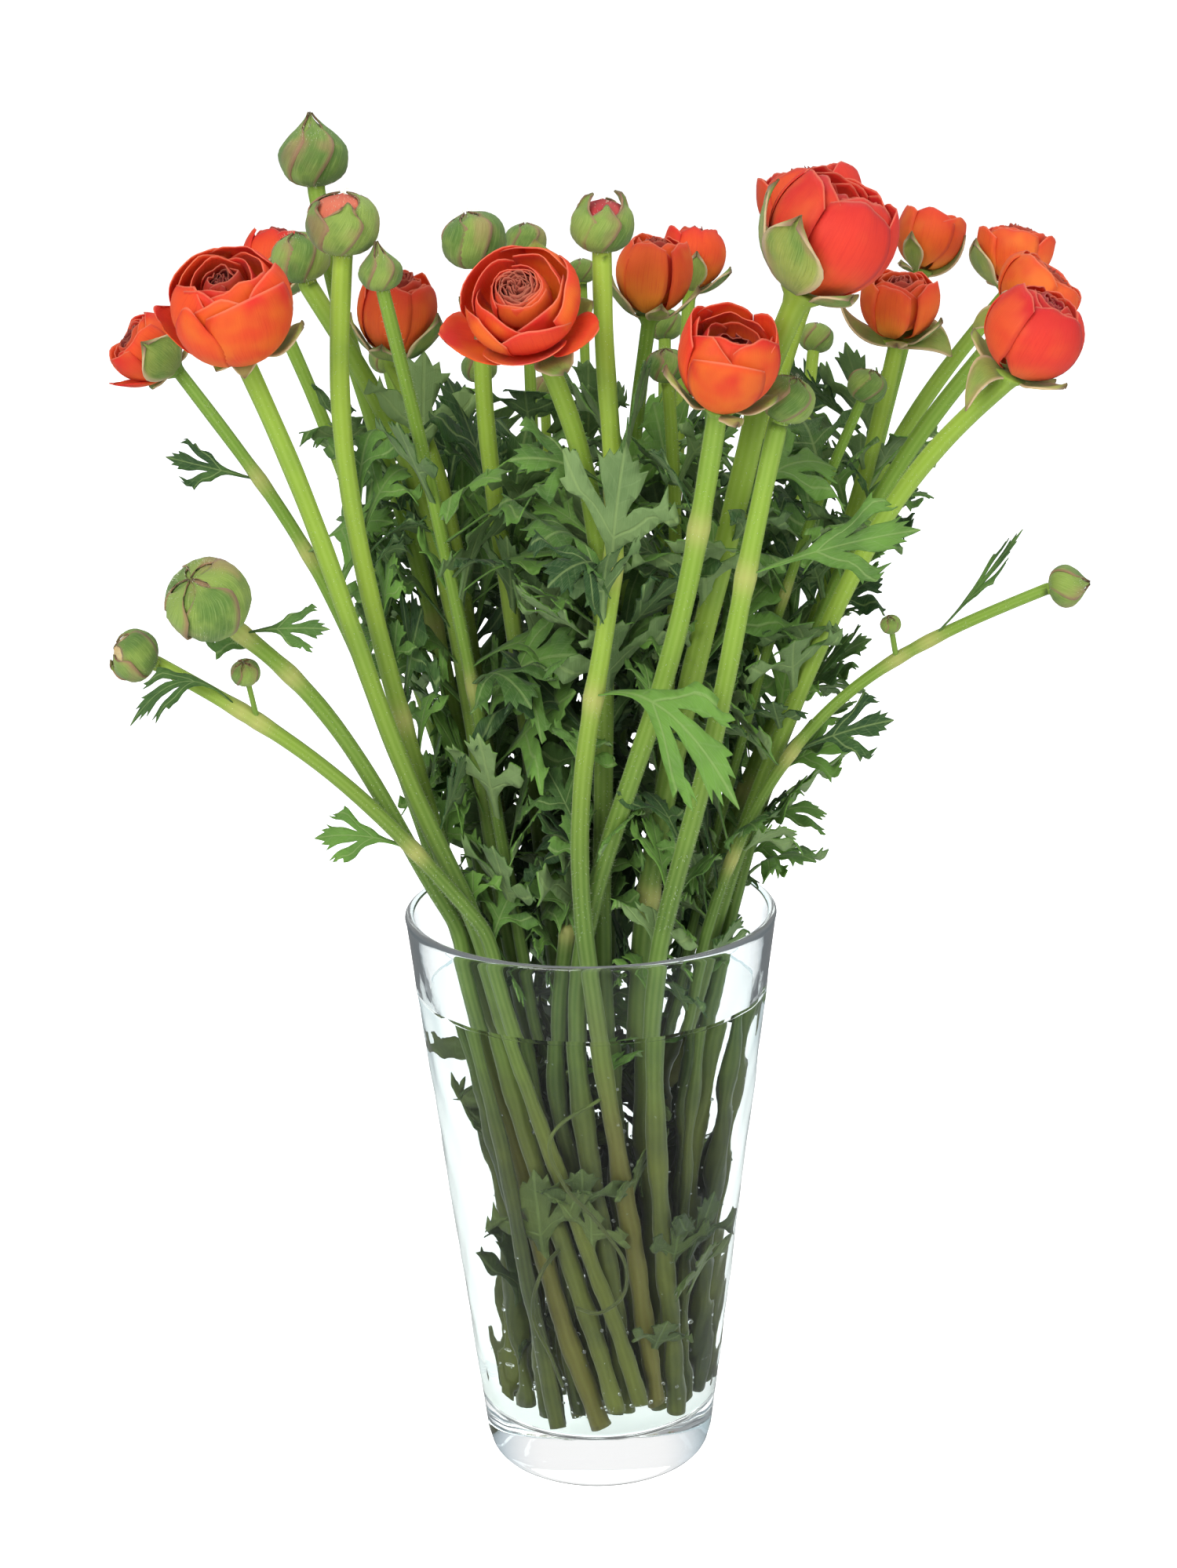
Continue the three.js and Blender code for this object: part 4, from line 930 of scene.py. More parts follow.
@functools.cache
def stem_look():
    look = Look("stem")
    _, around, _ = look.uv()
    place = look.place()
    height = look.split(place)[2]
    above_water = height.smooth(0.12, 0.22)
    blotch = look.noise(place, 45.0, 3.0)
    grain = look.noise(place, 900.0, 2.0)
    tone = look.attribute("tone")
    ribs = (around * (2 * math.pi * 9)).math("SINE") * 0.5 + 0.5
    # Painted shade and light: the stem is dark olive under water, partly a soaked stem's colour and partly
    # painted shade, and above it goes from a darker green low in the bunch to a bright one at the top, partly
    # painted shade below and painted light above.
    shade = look.coats(
        colour(36, 44, 18),
        ((blotch * 0.8 + tone * 0.6).smooth(0.35, 0.95), colour(86, 92, 30)),
        (tone.smooth(0.74, 0.78) * 0.2, colour(112, 60, 40)),
        (above_water, colour(76, 108, 36)),
        (height.smooth(0.2, 0.34), look.mix(tone, colour(98, 138, 40), colour(166, 192, 64))),
        (blotch.smooth(0.45, 0.75) * above_water * 0.4, colour(112, 146, 56)),
        (look.attribute("joint") * 0.7, colour(184, 178, 104)),
        (ribs * (above_water * 0.09 + 0.03), colour(200, 218, 124)),
        # painted shade deep in the bunch
        (look.painted_shade_in_bunch() * 0.6, colour(26, 38, 14)),
    )
    surface = look.shader(Base_Color=shade, Roughness=0.5 + grain * 0.2, Specular_IOR_Level=0.3,
                          Sheen_Weight=0.12, Normal=look.bump(ribs * 0.5 + grain, 0.3, 0.0003))
    return look.done(look.lit_through(above_water * 0.13 + 0.03, surface, colour(180, 210, 70)))


@functools.cache
def hair_look():
    look = Look("stem hair")
    surface = look.shader(Base_Color=colour(232, 238, 206), Roughness=0.6)
    return look.done(look.lit_through(0.5, surface, colour(232, 238, 206)))


def rib_distance(x, y, start, stop):
    """The distance from a rib that runs from start to stop on a leaf's flat pattern."""
    run = (stop[0] - start[0], stop[1] - start[1])
    square = run[0] ** 2 + run[1] ** 2
    share = ((x - start[0]) * (run[0] / square) + (y - start[1]) * (run[1] / square))
    share = share.math("MAXIMUM", 0.0).math("MINIMUM", 1.0)
    across = x - start[0] - share * run[0]
    down = y - start[1] - share * run[1]
    return (across * across + down * down).math("SQRT")


@functools.cache
def leaf_look(name, young, old, veins=1.0):
    """A leaf's face: a pale rib down each lobe, small side veins, and blotches of old and young."""
    look = Look(name)
    flat, u, v = look.uv()
    length, width = LEAF_SIZE
    x, y = (u - 0.5).math("ABSOLUTE") * LEAF_UV_WIDTH, v * length
    fork = (0, RIB["fork"] * length)
    knee, tip = ((OUTLINE[name][1] * width, OUTLINE[name][0] * length) for name in ("lobe_rib", "lobe_tip"))
    lobe = rib_distance(x, y, fork, knee).math("MINIMUM", rib_distance(x, y, knee, tip)) / 0.45
    rib = 1 - (x / 0.55).math("MINIMUM", lobe).smooth(0.3, 1.2)
    side = ((y - x * 0.9) * 1.35).math("SINE").smooth(0.86, 1.0)
    place = look.place()
    blotch = look.noise(place, 70.0, 3.0)
    lines = look.noise(look.stretched(flat, (70.0, 5.0, 1.0)), 2.0)
    shade = look.coats(
        old,
        ((blotch * 0.7 + look.attribute("tone") * 0.6).smooth(0.35, 0.95), young),
        ((side * 0.12 + lines.smooth(0.4, 0.7) * 0.2) * veins, colour(140, 164, 108)),
        (rib * (0.4 * veins), colour(148, 172, 104)),
        # painted shade deep in the bunch
        (look.painted_shade_in_bunch() * 0.65, colour(14, 26, 12)),
    )
    relief = look.noise(place, 420.0, 3.0) * 0.5 + lines * 0.6 - rib - side * 0.3
    surface = look.shader(Base_Color=shade, Roughness=0.6 + blotch * 0.1, Specular_IOR_Level=0.25,
                          Sheen_Weight=0.06, Normal=look.bump(relief, 0.5, 0.0004))
    return look.done(look.lit_through(0.14 * veins, surface, colour(110, 160, 40)))


def leaf_looks():
    return (leaf_look("leaf top", colour(104, 148, 58), colour(28, 62, 27)),
            leaf_look("leaf underside", colour(124, 150, 92), colour(80, 108, 60)))


def sunken_looks():
    # Darker olive leaves under water: partly the colour of soaked leaves, partly painted shade in the water.
    return (leaf_look("sunken leaf top", colour(64, 80, 32), colour(30, 42, 18), veins=0.4),
            leaf_look("sunken leaf underside", colour(84, 96, 48), colour(50, 64, 30), veins=0.4))


@functools.cache
def sepal_look(name, inner, outer, edge):
    """Green sepals with pinkish edges and patches, and fine hairs, which show as a soft bloom."""
    look = Look(name)
    flat, u, v = look.uv()
    across = (u * 2 - 1).math("ABSOLUTE")
    place = look.place()
    blotch = look.noise(place, 130.0, 3.0)
    streaks = look.noise(look.stretched(flat, (24.0, 1.4, 1.0)), 3.0, 2.0)
    patches = (look.noise(place, 75.0) + across * 0.16).smooth(0.56, 0.74) * v.smooth(0.15, 0.6)
    grain = look.noise(place, 1300.0, 2.0)
    shade = look.coats(
        inner,
        ((blotch + look.attribute("tone") * 0.4).smooth(0.4, 0.9), outer),
        (streaks.smooth(0.44, 0.7) * 0.3, colour(176, 192, 112)),
        (streaks.smooth(0.5, 0.3) * 0.35, colour(74, 104, 44)),
        (patches * 0.45, colour(172, 122, 98)),
        (across.smooth(0.72, 1.0) * 0.8, edge),
        (v.smooth(0.92, 1.0) * 0.7, colour(110, 62, 54)),
    )
    surface = look.shader(Base_Color=shade, Roughness=0.6 + grain * 0.15, Specular_IOR_Level=0.3,
                          Sheen_Weight=0.15, Normal=look.bump(grain * 0.6 + streaks, 0.6, 0.0004))
    return look.done(look.lit_through(0.15, surface, colour(170, 190, 90)))


def bloom_sepal_look():
    return sepal_look("bloom sepal", colour(112, 142, 58), colour(162, 170, 76), colour(220, 190, 150))


def bud_sepal_look():
    return sepal_look("bud sepal", colour(84, 120, 46), colour(138, 162, 70), colour(158, 116, 92))


@functools.cache
def petal_look(family):
    """Petals from orange at the foot to red at the rim, with fine veins that fan out."""
    base, face, rim, heart = (colour(*c) for c in PETAL_COLOURS[family])
    look = Look(f"{family} petal")
    flat, u, v = look.uv()
    tone, depth = look.attribute("tone"), look.attribute("depth")
    cloud = look.noise(look.place(), 60.0, 2.0)
    veins = look.noise(look.stretched(flat, (26.0, 1.2, 1.0)), 2.2, 3.0, 0.6)
    rise = v + (cloud - 0.5) * 0.6 + (tone - 0.5) * 0.6
    edge = (u * 2 - 1).math("ABSOLUTE").smooth(0.84, 1.0).math("MAXIMUM", v.smooth(0.9, 0.99))
    shade = look.coats(
        base,
        (rise.smooth(0.05, 0.55), face),
        (rise.smooth(0.58, 1.15), rim),
        (veins.smooth(0.48, 0.68) * 0.42, rim),
        ((cloud + tone * 0.2).smooth(0.56, 0.8) * 0.5 * (1 - depth), base),
        (edge * 0.4, rim),
        # painted shade in the bloom's hollow, partly the inner petals' own deeper colour
        (depth.smooth(0.22, 0.58) * 0.88, heart),
        (v.smooth(0.975, 0.995) * 0.35 * (1 - depth * 0.7), colour(246, 168, 130)),
    )
    surface = look.shader(Base_Color=shade, Roughness=0.5 + veins * 0.15, Specular_IOR_Level=0.28,
                          Sheen_Weight=0.05, Normal=look.bump(veins, 0.45, 0.0004))
    return look.done(look.lit_through(0.28, surface, colour(250, 96, 24)))


# ---------------------------------------------------------------- stems

def frames_along(points):
    """The direction at each point of a route and two directions square to it, without a twist."""
    ahead = np.gradient(points, axis=0)
    ahead /= np.linalg.norm(ahead, axis=1)[:, None]
    side = cross_axes(ahead[0])[0]
    sides = []
    for along in ahead:
        side = unit(side - along * side.dot(along))
        sides.append(side)
    sides = np.array(sides)
    return ahead, sides, np.cross(ahead, sides)


def fuller(points):
    """A route with one more point between each two, on the curve through them."""
    return curve_through(list(points), np.arange(0, len(points) - 0.75, 0.5))


def stem_rings(plant, number):
    """The ring centres, radii and joint marks of one stem, with the seat of its head."""
    growth = bouquet()
    points = fuller(growth.stems[number])
    for _ in range(4):
        points[1:-1] = points[1:-1] / 2 + (points[:-2] + points[2:]) / 4
    radii = np.full(len(points), float(plant["stem"]))
    joints = np.zeros(len(points))
    roots = [leaf["root"] for leaf in growth.leaves if leaf["plant"] == number and leaf["rule"] is GROWN]
    roots += [growth.root(number, height) for height, _, _ in plant.get("side", ())]
    for root in roots:
        away = np.linalg.norm(points - root, axis=1)
        joints = np.maximum(joints, np.exp(-((away / JOINT) ** 2)))
    radii *= 1 + 0.16 * joints + 0.02 * np.sin(points[:, 2] * 0.21 + number)
    if "centre" in plant:
        head = Head(plant)
        ups, wide = np.array(NECK_RINGS["bloom" if "close" in plant else "bud"]).T
        more_points = head.centre + np.multiply.outer(ups * head.reach - GAP, head.axis)
        more_radii = np.maximum(wide * head.radius, plant["stem"])
        more_joints = np.zeros(len(ups))
    else:
        radii[-1] *= 0.92
        more_points = [points[-1] + (points[-1] - points[-2]) * 0.3]
        more_radii = [radii[-1] * 0.6]
        more_joints = [1.0]
    return (np.concatenate([points, more_points]), np.concatenate([radii, more_radii]),
            np.concatenate([joints, more_joints]))


def wrapping(points, sides):
    """A grid to wrap round a route, and for each of its points the ring, the turn and the way out."""
    _, side, front = frames_along(points)
    mesh, u, v = flat_grid(sides, len(points) - 1)
    ring = np.rint(v * (len(points) - 1)).astype(int)
    turn = 2 * np.pi * u
    return mesh, ring, turn, side[ring] * np.cos(turn)[:, None] + front[ring] * np.sin(turn)[:, None]


def model_stem(plant, number, sides):
    """A stem wrapped from a grid: round, with soft ribs and joints, cut off at a slant."""
    points, radii, joints = stem_rings(plant, number)
    mesh, ring, turn, out = wrapping(points, sides)
    places = points[ring] + out * (radii[ring] * (1 + 0.025 * np.cos(5 * turn)))[:, None]
    places[ring == 0, 2] += 0.9 * np.cos(turn[ring == 0] + number) + 0.4
    tone = 0.15 + 0.7 * ((number * 0.618) % 1)
    piece = copy_of(mesh, "stem", places, [stem_look()], tone=tone, joint=joints[ring])
    close_tube(piece)
    return piece, points, radii


def model_stalk(points, radius):
    """A thin round stalk along a route."""
    mesh, ring, _, out = wrapping(points, sides=8)
    piece = copy_of(mesh, "stalk", points[ring] + out * radius, [stem_look()], tone=0.3, joint=0)
    close_tube(piece)
    return piece


def model_strand(number, height, passes):
    """A thin stalk that curls along the inside of the glass, from a stem's side."""
    root = bouquet().root(number, height)
    places = [np.array([x, -math.sqrt((0.92 * inner_radius(z)) ** 2 - x * x), z]) for x, z in passes]
    return model_stalk(spaced_points([root, *places], step=2.5), radius=0.65)


def model_hairs(roots, draw, length):
    """Fine hairs, each one thin triangle that stands out from its root along a normal."""
    corners = []
    for foot, normal, ahead in roots:
        wide = unit(np.cross(normal, ahead)) * 0.06
        tip = foot + unit(normal + ahead * (next(draw) - 0.35)) * length * (0.5 + 0.8 * next(draw))
        corners += [foot - wide, foot + wide, tip]
    mesh = bpy.data.meshes.new("hairs")
    count = len(corners) // 3
    mesh.from_pydata(np.array(corners) * MM, [], np.arange(3 * count).reshape(-1, 3).tolist())
    mesh.materials.append(hair_look())
    return new_piece("hairs", mesh)


def stem_hair_roots(points, radii, draw, per_mm):
    """Where hairs stand on a stem above the glass."""
    ahead, side, front = frames_along(points)
    steps = np.linalg.norm(np.diff(points, axis=0), axis=1)
    for i in np.nonzero(points[:-1, 2] > VASE["height"] + 6)[0]:
        for _ in range(int(steps[i] * per_mm + next(draw))):
            turn, share = 2 * math.pi * next(draw), next(draw)
            normal = side[i] * math.cos(turn) + front[i] * math.sin(turn)
            foot = lerp(points[i], points[i + 1], share)
            yield foot + normal * (lerp(radii[i], radii[i + 1], share) - 0.1), normal, ahead[i]


def bud_hair_roots(head, draw, per_square):
    """Where hairs stand on a bud."""
    for _ in range(int(4 * math.pi * head.radius ** 2 * per_square)):
        turn, polar = 2 * math.pi * next(draw), math.acos(1 - 2 * next(draw))
        out, up = math.sin(polar), math.cos(polar)
        normal = unit(head.at(out, turn, up) - head.centre)
        yield head.at(out * head.radius, turn, up * head.reach * 0.98), normal, head.axis


# ---------------------------------------------------------------- leaves

@functools.cache
def flat_leaf(kind):
    """A flat leaf with its cut outline: a face bisected along and across into small cells."""
    draw = random_from(SEEDS["leaf"] + kind)
    length, width = LEAF_SIZE
    half = []
    for along, share in LEAF_EDGE:
        inner = 0.02 < along < 0.98
        wider, further = 0.12 * (next(draw) - 0.5) * inner, 0.022 * (next(draw) - 0.5) * inner
        half.append((share * LEAF_SLIM[kind] * width * (1 + wider), (along + further) * length))
    mirrored = [(-x * (1 + 0.08 * (next(draw) - 0.5)), y) for x, y in reversed(half)]
    mesh = bpy.data.meshes.new(f"leaf_{kind}")
    outline = [(x, y, 0) for x, y in half + mirrored]
    mesh.from_pydata(outline, [], [list(range(len(outline)))])
    piece = new_piece("leaf_blank", mesh)
    cuts = [((x, 0, 0), (1, 0, 0)) for x in np.arange(-7, 8) * LEAF_CELL]
    cuts += [((0, y, 0), (0, 1, 0)) for y in np.arange(1, int(length / LEAF_CELL) + 1) * LEAF_CELL]

    def cut_into_cells():
        for place, square in cuts:
            bpy.ops.mesh.bisect(plane_co=place, plane_no=square)
            bpy.ops.mesh.select_all(action="SELECT")

    in_edit_mode(piece, cut_into_cells, face_outwards, bpy.ops.mesh.quads_convert_to_tris)
    bpy.ops.object.shade_smooth()
    flat = points_of(mesh)
    layer = mesh.uv_layers.new(name="UVMap")
    corners = np.empty(len(mesh.loops), dtype=np.int32)
    mesh.loops.foreach_get("vertex_index", corners)
    uv = np.stack([flat[:, 0] / LEAF_UV_WIDTH + 0.5, flat[:, 1] / length], axis=1)[corners]
    layer.data.foreach_set("uv", uv.astype(np.float32).ravel())
    bpy.data.objects.remove(piece)
    return mesh, flat[:, 0] / width, flat[:, 1] / length


def model_leaf(leaf, number, draw):
    """A leaf bent onto its place: channelled at its foot, ruffled and a little twisted further out."""
    mesh, share, along = flat_leaf(number % len(LEAF_SLIM))
    across = -share * leaf["width"]
    heading = math.radians(leaf["heading"])
    roll = 1.4 * (next(draw) - 0.5)
    if "chosen" in leaf or leaf["rule"] is FRONT:
        roll = math.cos(heading) * (1.0 + 0.3 * next(draw))
    rolled = roll * smooth(along, 0, 0.45)
    places = leaf_points(leaf["root"], leaf, along, across * np.cos(rolled))
    ruffle = leaf["width"] * 0.11 * np.abs(share) ** 1.3 * np.sin(along * 23 + number + np.sign(share))
    channel = 0.35 * np.abs(across) * (1 - smooth(along, 0.2, 0.6))
    places[:, 2] += ruffle + channel + across * np.sin(rolled)
    sway = leaf["width"] * (next(draw) - 0.5) * 1.2 * along ** 2
    places[:, 0] -= math.sin(heading) * sway
    places[:, 1] += math.cos(heading) * sway
    looks = sunken_looks() if "glass" in leaf["rule"] else leaf_looks()
    return copy_of(mesh, "leaf", places, looks, tone=next(draw))


def model_leaves(number, draw, thickness):
    """All leaves of one plant, with their thickness."""
    growth = bouquet()
    leaves = [model_leaf(leaf, i, draw) for i, leaf in enumerate(growth.leaves)
              if leaf["plant"] == number and not leaf["past"]]
    if not leaves:
        return []
    piece = join(leaves, "leaves")
    apply_modifier(piece, "SOLIDIFY", thickness=thickness, offset=-1, material_offset=1)
    return [piece]


# ---------------------------------------------------------------- blooms

def turn_towards(head, heading):
    """The turn round a head's axis that faces a heading seen from above, both in degrees."""
    way = np.array([math.cos(math.radians(heading)), math.sin(math.radians(heading)), 0])
    return math.degrees(math.atan2(way @ head.front, way @ head.side))


def widening(v, least, full):
    """The width of a petal or sepal at v: from a least share at its foot to all of it at full."""
    return lerp(least, 1, np.sin(np.minimum(v / full, 1) * np.pi / 2))


def patch_places(head, u, v, radius, start, stop, turn, width, flare=0.0, point=0.55, cup=0.0, curl=0.0):
    """A petal or sepal laid on the egg round a head's axis, from near its base up to its tip."""
    across = 2 * u - 1
    narrowing = lerp(1, point, np.maximum((v - 0.6) / 0.4, 0) ** 2)
    drop = 0.1 * across ** 2 * v * (stop - start)
    polar = np.radians(lerp(start, stop, v) - drop)
    angle = np.radians(turn + width * widening(v, 0.28, 0.6) * narrowing * across)
    r = radius * (1 + flare * v * v + curl * smooth(v, 0.7, 1) ** 2) + cup * across ** 2 * v
    return head.at(np.sin(polar) * r, angle, -np.cos(polar) * r * head.reach / head.radius)


def petal_places(head, u, v, share, top, turn, half, rim, lip, lean, wave, phase, point):
    """A petal of one layer. Its rim is round and wavy, and one edge lies over its neighbour."""
    across = 2 * u - 1
    t = v * (1 - point * np.abs(across) ** lerp(3, 1.2, point * 3))
    polar = np.radians(lerp(14, top, t))
    upper = rim / -math.cos(math.radians(top))
    up = -np.cos(polar) * np.where(polar < np.pi / 2, share * head.reach, upper)
    spread = half * widening(t, 0.34, 0.5)
    ripple = wave * np.sin(phase + 4.6 * across) * t ** 3
    out = share * np.sin(polar) + lip * smooth(t, 0.8, 1) ** 2 + lean * across * (0.35 + 0.65 * t) + ripple
    up = up + head.reach * wave * 0.8 * np.sin(phase * 1.7 + 6.5 * across) * t ** 3
    return head.at(head.radius * out, np.radians(turn + spread * across), up)


def hanging_places(head, u, v, heading, length, sag, half):
    """A sepal that stands off from the seat of a bloom, droops or curls up, and ends in a point."""
    across = 2 * u - 1
    heading = math.radians(heading)
    out = np.array([math.cos(heading), math.sin(heading), 0])
    roll = 0.9 * math.cos(heading)
    side = np.array([-math.sin(heading) * math.cos(roll), math.cos(heading) * math.cos(roll), math.sin(roll)])
    wide = half * np.sin(np.pi * np.clip(0.12 + 0.88 * v, 0, 1)) ** 0.7
    root = head.centre - head.axis * head.reach * 1.1
    rise = 0.1 + 0.5 * max(sag, 0)
    up = length * (rise * v - sag * v ** 2.2) + 0.18 * wide * across ** 2
    far = length * (v - 0.2 * v ** 3 * (1 + max(-sag, 0)))
    points = root + np.multiply.outer(far, out) + np.multiply.outer(across * wide, side)
    points[:, 2] += up
    return points


def model_bloom(flower, family, draw, columns, rows, thickness):
    """A bloom: layers of broad petals, from the open cup to the tight heart."""
    head = Head(flower)
    tight = flower.get("tight", 0.44)
    outer, inner = flower.get("layers", (3, 4))
    outside = flower.get("shares", np.linspace(0.985, tight + 0.16, outer))
    shares = [*outside, *np.linspace(tight, 0.07, inner)]
    small_drift = [0.06 * (next(draw) - 0.5) for _ in range(2)]
    drift = head.radius * (np.array(flower.get("drift", small_drift)) @ np.array([head.side, head.front]))
    mesh, u, v = flat_grid(columns, rows)
    looks = [petal_look(family)]
    outer_rim = -math.cos(math.radians(flower["close"])) * head.reach
    petals = []
    for layer, share in enumerate(shares):
        depth = layer / (len(shares) - 1)
        open_layer = layer < outer
        count = PETALS_AROUND[layer] if open_layer else HEART_PETALS
        rim = lerp(outer_rim, flower["heart"] * head.reach, smooth(depth, 0, 0.7))
        for k in range(count):
            jitter = [next(draw) - 0.5 for _ in range(5)]
            top = min(flower["close"] + lerp(2, 10, depth) + 8 * ((k + layer) % 2) + 16 * jitter[0], 172)
            places = petal_places(
                head, u, v, share=share * (1 + 0.03 * jitter[1]), top=top,
                turn=360 * (k + 0.62 * layer) / count + 24 * jitter[2],
                half=180 / count * (1.22 if open_layer else 1.45) * (1 + 0.3 * jitter[4]),
                rim=rim * (1 + 0.16 * jitter[3]), lip=0.05 * (next(draw) if open_layer else 0),
                lean=0.026 if open_layer else 0.04, wave=lerp(0.026, 0.06, depth), phase=6.3 * next(draw),
                point=0.08 + (0.22 * next(draw) ** 1.5 if open_layer else 0),
            ) + drift * smooth(depth, 0, 0.6)
            petals.append(copy_of(mesh, "petal", places, looks, tone=next(draw), depth=depth))
    for heading, stop, width, flare, point in flower.get("loose", ()):
        places = patch_places(head, u, v, radius=head.radius * 1.05, start=17, stop=stop,
                              turn=turn_towards(head, heading), width=width, flare=flare, point=point,
                              cup=-1.5, curl=0.05)
        petals.append(copy_of(mesh, "petal", places, looks, tone=next(draw), depth=0))
    piece = join(petals, f"bloom_{flower['name']}")
    apply_modifier(piece, "SOLIDIFY", thickness=thickness, offset=0)
    return piece


def model_sepals(flower, draw, thickness):
    """Five sepals under a bloom: most hug it, boat-shaped and pointed, and some stand off."""
    head = Head(flower)
    mesh, u, v = flat_grid(10, 12)
    across = 2 * u - 1
    radius = head.radius * flower.get("apart", 1.07) + 0.5
    turns = [72 * k + 20 for k in range(5)]
    sepals = []

    def free_turn(heading):
        """Takes the place among the five that is nearest to a heading."""
        wanted = turn_towards(head, heading)
        turns.remove(min(turns, key=lambda turn: abs((turn - wanted + 180) % 360 - 180)))
        return wanted

    for heading, length, sag, half in flower.get("hang", ()):
        free_turn(heading)
        places = hanging_places(head, u, v, heading, length, sag, half)
        sepals.append(copy_of(mesh, "sepal", places, [bloom_sepal_look()], tone=next(draw)))
    hugging = [(free_turn(heading), stop, width) for heading, stop, width in flower.get("boats", ())]
    reach = 34 if "boats" in flower else 56
    hugging += [(turn, reach + 12 * ((k * 2) % 3) + 8 * next(draw), 25) for k, turn in enumerate(turns)]
    for turn, stop, width in hugging:
        places = patch_places(
            head, u, v, radius=radius, start=11, stop=stop, turn=turn + 8 * (next(draw) - 0.5),
            width=width, flare=0.04 + 0.06 * next(draw), point=0.06, cup=0.9, curl=0.16 * next(draw) ** 2,
        )
        ridge = 0.5 * np.exp(-((across / 0.16) ** 2)) * np.sin(np.pi * np.clip(v, 0, 1))
        places += unit(head.at(1, math.radians(turn), 0) - head.centre) * ridge[:, None]
        sepals.append(copy_of(mesh, "sepal", places, [bloom_sepal_look()], tone=next(draw)))
    piece = join(sepals, "sepals")
    apply_modifier(piece, "SOLIDIFY", thickness=thickness, offset=0)
    return piece


# ---------------------------------------------------------------- buds

def bud_line(t):
    """Radius and height of a bud's side, from its base to its tip, as shares of its own."""
    places = np.linspace(0, 1, len(BUD_PROFILE))
    radii, heights = np.array(BUD_PROFILE).T
    near = [np.clip(t + d, 0, 1) for d in (-0.03, 0, 0.03)]
    return [sum(np.interp(place, places, line) for place in near) / 3 for line in (radii, heights)]


def drawn_out(bud, radii, heights):
    """The side of a bud whose top is drawn out into a point."""
    tip = bud.get("tip", 0.0)
    point = np.maximum((heights - 0.8) / 0.2, 0) ** 1.5
    return (radii * (1 - 0.55 * tip * smooth(heights, 0.1, 0.85)),
            heights + tip * (0.4 * np.maximum(heights, 0) ** 2 + 0.7 * point))


def model_bud(bud, draw, thickness):
    """A bud: a round heart wrapped in five sepals that lie over each other and meet in a point."""
    head = Head(bud)
    family, open_at = bud.get("shows", (None, 1.0))
    bare = turn_towards(head, bud["bare"]) if "bare" in bud else None
    mesh, u, v = flat_grid(20, 14)
    radii, heights = drawn_out(bud, *bud_line(v))
    core_look = petal_look(family) if family else bud_sepal_look()
    folds = 1 + 0.035 * np.abs(np.sin(4 * np.pi * u + 3 * v)) * smooth(v, 0.5, 0.8)
    out, up = 0.95 * head.radius * folds * radii, 0.95 * BUD_REACH * head.reach * heights
    core = copy_of(mesh, "core", head.at(out, 2 * np.pi * u, up), [core_look], tone=0.5, depth=0.2)
    close_tube(core)
    mesh, u, v = flat_grid(12, 16)
    across = 2 * u - 1
    sepals = []
    for k, half in enumerate(BUD_SEPALS):
        end = open_at * (1 + (0.14 if family else 0.04) * (next(draw) - 0.5))
        if bare is not None:
            end -= 0.2 * max(math.cos(math.radians(72 * k - bare)), 0)
        t = v * end * (1 - 0.1 * across ** 2)
        radii, heights = drawn_out(bud, *bud_line(t))
        if k in bud.get("horns", ()):
            heights = heights + 0.34 * smooth(v, 0.8, 1) ** 1.5
        half = half * widening(v, 0.7, 0.5) * lerp(1, 0.22, smooth(v, 0.6, 1))
        lift = 1 + 0.045 * across + 0.03 * (k % 2) + 0.012 * np.sin(across * 9 + 5 * v + k)
        lift += 0.045 * np.exp(-((across / 0.13) ** 2)) * np.sin(np.pi * v)
        lift += 0.16 * next(draw) ** 2 * smooth(v, 0.8, 1)
        if family:
            lift = lift + 0.14 * smooth(v, 0.8, 1) * (0.4 + next(draw))
        turn = np.radians(72 * k + 14 * next(draw) + 30 * heights + half * across)
        places = head.at(radii * head.radius * lift + 0.2, turn, heights * head.reach * BUD_REACH)
        sepals.append(copy_of(mesh, "sepal", places, [bud_sepal_look()], tone=next(draw)))
    shell = join(sepals, "sepals")
    apply_modifier(shell, "SOLIDIFY", thickness=thickness, offset=0)
    return [core, shell, model_hairs(bud_hair_roots(head, draw, 0.5), draw, 0.8)]


def model_side_bud(number, side, draw, thickness):
    """A small side bud on its own short stalk."""
    height, centre, across = side
    root = bouquet().root(number, height)
    run = np.array(centre, float) - root
    bud = {"centre": centre, "face": unit(run), "across": across}
    stalk = model_stalk(root + np.multiply.outer(np.linspace(0, 1, 6), run), radius=0.9)
    return [stalk, *model_bud(bud, draw, thickness)]


# ---------------------------------------------------------------- the glass and the water

def wave_glass(piece, depth):
    """Soft dimples on the sides of the glass, as hammered glass has, fading out at rim and foot."""
    points = points_of(piece.data) / MM
    x, y, z = points.T
    turn = np.arctan2(y, x)
    out = np.hypot(x, y)
    fade = smooth(z, 16, 40) * (1 - smooth(z, 172, 192)) * (out > 30)
    wave = (np.sin(15 * turn + 0.05 * z) * np.sin(0.13 * z + 3 * turn)
            + 0.7 * np.sin(23 * turn - 0.06 * z + 1.3) * np.sin(0.19 * z - 5 * turn))
    grow = 1 + depth * fade * wave / np.maximum(out, 1)
    points[:, 0] *= grow
    points[:, 1] *= grow
    move_points(piece.data, points)


def wall_steps(start, stop, count, radius):
    return [(radius(z), z) for z in np.linspace(start, stop, count)]


